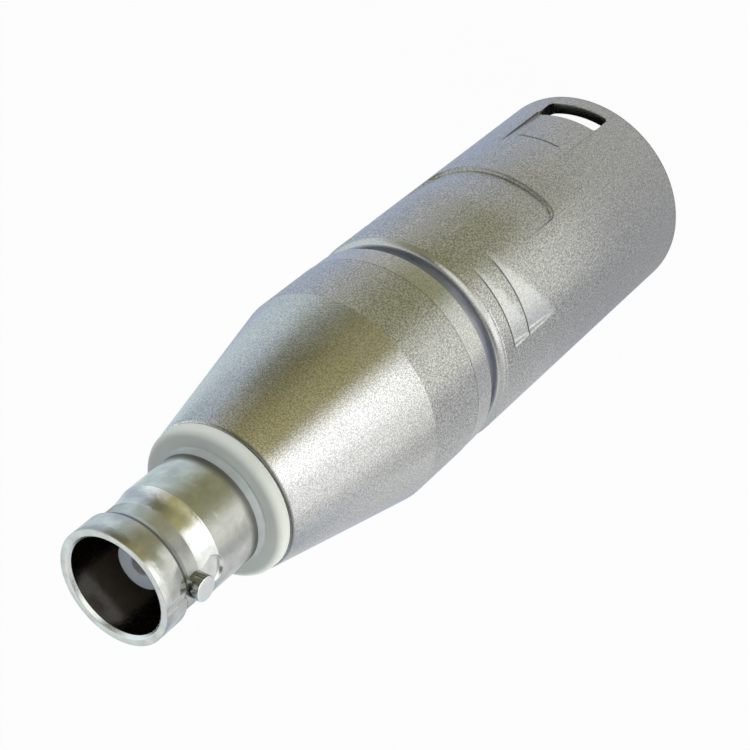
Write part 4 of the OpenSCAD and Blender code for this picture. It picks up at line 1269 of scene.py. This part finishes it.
# %% Turn the insulator
INSULATOR_NOSE_R = 2.05
NOSE_ROUND = 0.12
ENTRY_R = 0.80
CONTACT_FIT = 0.05
CONTACT_HOLE_R = 1.10
COLLAR_HOLE_R = 1.55
COLLAR_LEVEL = z_contact - 6.2
entry_level = z_contact + CONTACT_FIT
insulator_corners = [
    (COLLAR_HOLE_R, z_barrel, CRISP), (insulator_seat_r, z_barrel, SOFT), (insulator_seat_r, SEAT_LEVEL, CRISP),
    (INSULATOR_NOSE_R, SEAT_LEVEL, CRISP), (INSULATOR_NOSE_R, z_insulator, NOSE_ROUND), (ENTRY_R, z_insulator, SOFT),
    (ENTRY_R, entry_level, SHARP), (CONTACT_HOLE_R, entry_level, SHARP), (CONTACT_HOLE_R, COLLAR_LEVEL, SHARP),
    (COLLAR_HOLE_R, COLLAR_LEVEL, SHARP)]
turn_piece("jack_insulator", insulator_corners, "white_insulator", "bnc_insulator", 128)

# %% [markdown]
# ## Copper turns
# The CAD shows each winding as one smooth layer. Real wire lies turn beside turn, which is a repeat along
# an arc, so Geometry Nodes make it: one rounded loop of wire, instanced at equal angles about the axis.

# %% Build the winding's node tree
WIRE_R = 0.17
TURNS = 14
BEND_POINTS = 4
WIRE_SIDES = 8
CORE_INNER_R = 2.1
CORE_OUTER_R = 3.8
WINDING_ARC = math.radians(150)
WINDING_INPUTS = (
    ("Width", "Float"), ("Height", "Float"), ("Middle", "Vector"), ("Wire Radius", "Float"), ("Turns", "Int"),
    ("Start", "Float"), ("Arc", "Float"), ("Finish", "Material"))


def winding_tree():
    """Node group that winds a wire round part of a ring core."""
    tree = bpy.data.node_groups.new("wire_winding", "GeometryNodeTree")
    for name, kind in WINDING_INPUTS:
        tree.interface.new_socket(name, in_out="INPUT", socket_type="NodeSocket" + kind)
    tree.interface.new_socket("Geometry", in_out="OUTPUT", socket_type="NodeSocketGeometry")
    given = add(tree, "NodeGroupInput").outputs
    wire_r, count = given["Wire Radius"], given["Turns"]
    sides = {"Width": given["Width"], "Height": given["Height"]}
    loop = result(tree, "GeometryNodeCurvePrimitiveQuadrilateral", sides)
    bends = {"Curve": loop, "Count": BEND_POINTS, "Radius": wire_r}
    bent = result(tree, "GeometryNodeFilletCurve", bends, mode="POLY")
    section = result(tree, "GeometryNodeCurvePrimitiveCircle", {"Resolution": WIRE_SIDES, "Radius": wire_r})
    wire = result(tree, "GeometryNodeCurveToMesh", {"Curve": bent, "Profile Curve": section})
    stance = {"Geometry": wire, "Rotation": (math.pi / 2, 0, 0), "Translation": given["Middle"]}
    upright = result(tree, "GeometryNodeTransform", stance)
    places = result(tree, "GeometryNodeMeshLine", {"Count": count, "Offset": (0, 0, 0)}, mode="OFFSET")
    share = maths(tree, "DIVIDE", result(tree, "GeometryNodeInputIndex"), maths(tree, "SUBTRACT", count, 1.0))
    angle = maths(tree, "MULTIPLY_ADD", share, given["Arc"], given["Start"])
    spin = result(tree, "ShaderNodeCombineXYZ", {"Z": angle})
    copies = {"Points": places, "Instance": upright, "Rotation": spin}
    turns = result(tree, "GeometryNodeInstanceOnPoints", copies)
    real = result(tree, "GeometryNodeRealizeInstances", {"Geometry": turns})
    dressed = result(tree, "GeometryNodeSetMaterial", {"Geometry": real, "Material": given["Finish"]})
    add(tree, "NodeGroupOutput", {"Geometry": dressed})
    return tree


winding_nodes = winding_tree()
print("winding tree with", len(winding_nodes.nodes), "nodes")


# %% Wind the two coils
def wind(name, node, middle_angle):
    """Winds one coil where its CAD layer lies and makes it a plain mesh."""
    low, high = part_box(node)
    edge = math.asin(WIRE_R / (CORE_INNER_R - WIRE_R))
    values = {"Width": (CORE_OUTER_R - CORE_INNER_R + 2 * WIRE_R) * MM, "Height": high.z - low.z - 2 * WIRE_R * MM,
              "Middle": ((CORE_OUTER_R + CORE_INNER_R) / 2 * MM, 0, (low.z + high.z) / 2),
              "Wire Radius": WIRE_R * MM, "Turns": TURNS, "Start": middle_angle - WINDING_ARC / 2 + edge,
              "Arc": WINDING_ARC - 2 * edge, "Finish": finishes["copper_wire"]}
    made = in_scene(name, bpy.data.meshes.new(name))
    modifier = made.modifiers.new("winding", "NODES")
    modifier.node_group = winding_nodes
    for item in winding_nodes.interface.items_tree:
        if item.in_out == "INPUT":
            modifier[item.identifier] = values[item.name]
    depsgraph = bpy.context.evaluated_depsgraph_get()
    wound = bpy.data.meshes.new_from_object(made.evaluated_get(depsgraph))
    made.modifiers.remove(modifier)
    made.data = wound
    wound.shade_smooth()
    stand_for(made, node)
    print(f"{name}: {TURNS} turns, {len(wound.polygons)} faces")


wind("primary_turns", "primary_winding", math.radians(90))
wind("secondary_turns", "secondary_winding", math.radians(270))

# %% [markdown]
# ## Finishes of the CAD nodes
# The pins, the insert and the pieces sealed inside keep their CAD meshes, since their shapes are right.
# Each gets the finish of its slot in the record, so that none is left in a single flat colour.

# %% Dress the CAD nodes
for name, slot in SLOT_OF_NODE.items():
    node = frame["nodes"][name]
    node.data.materials.clear()
    node.data.materials.append(finishes[slot])
print("dressed", len(SLOT_OF_NODE), "CAD nodes")
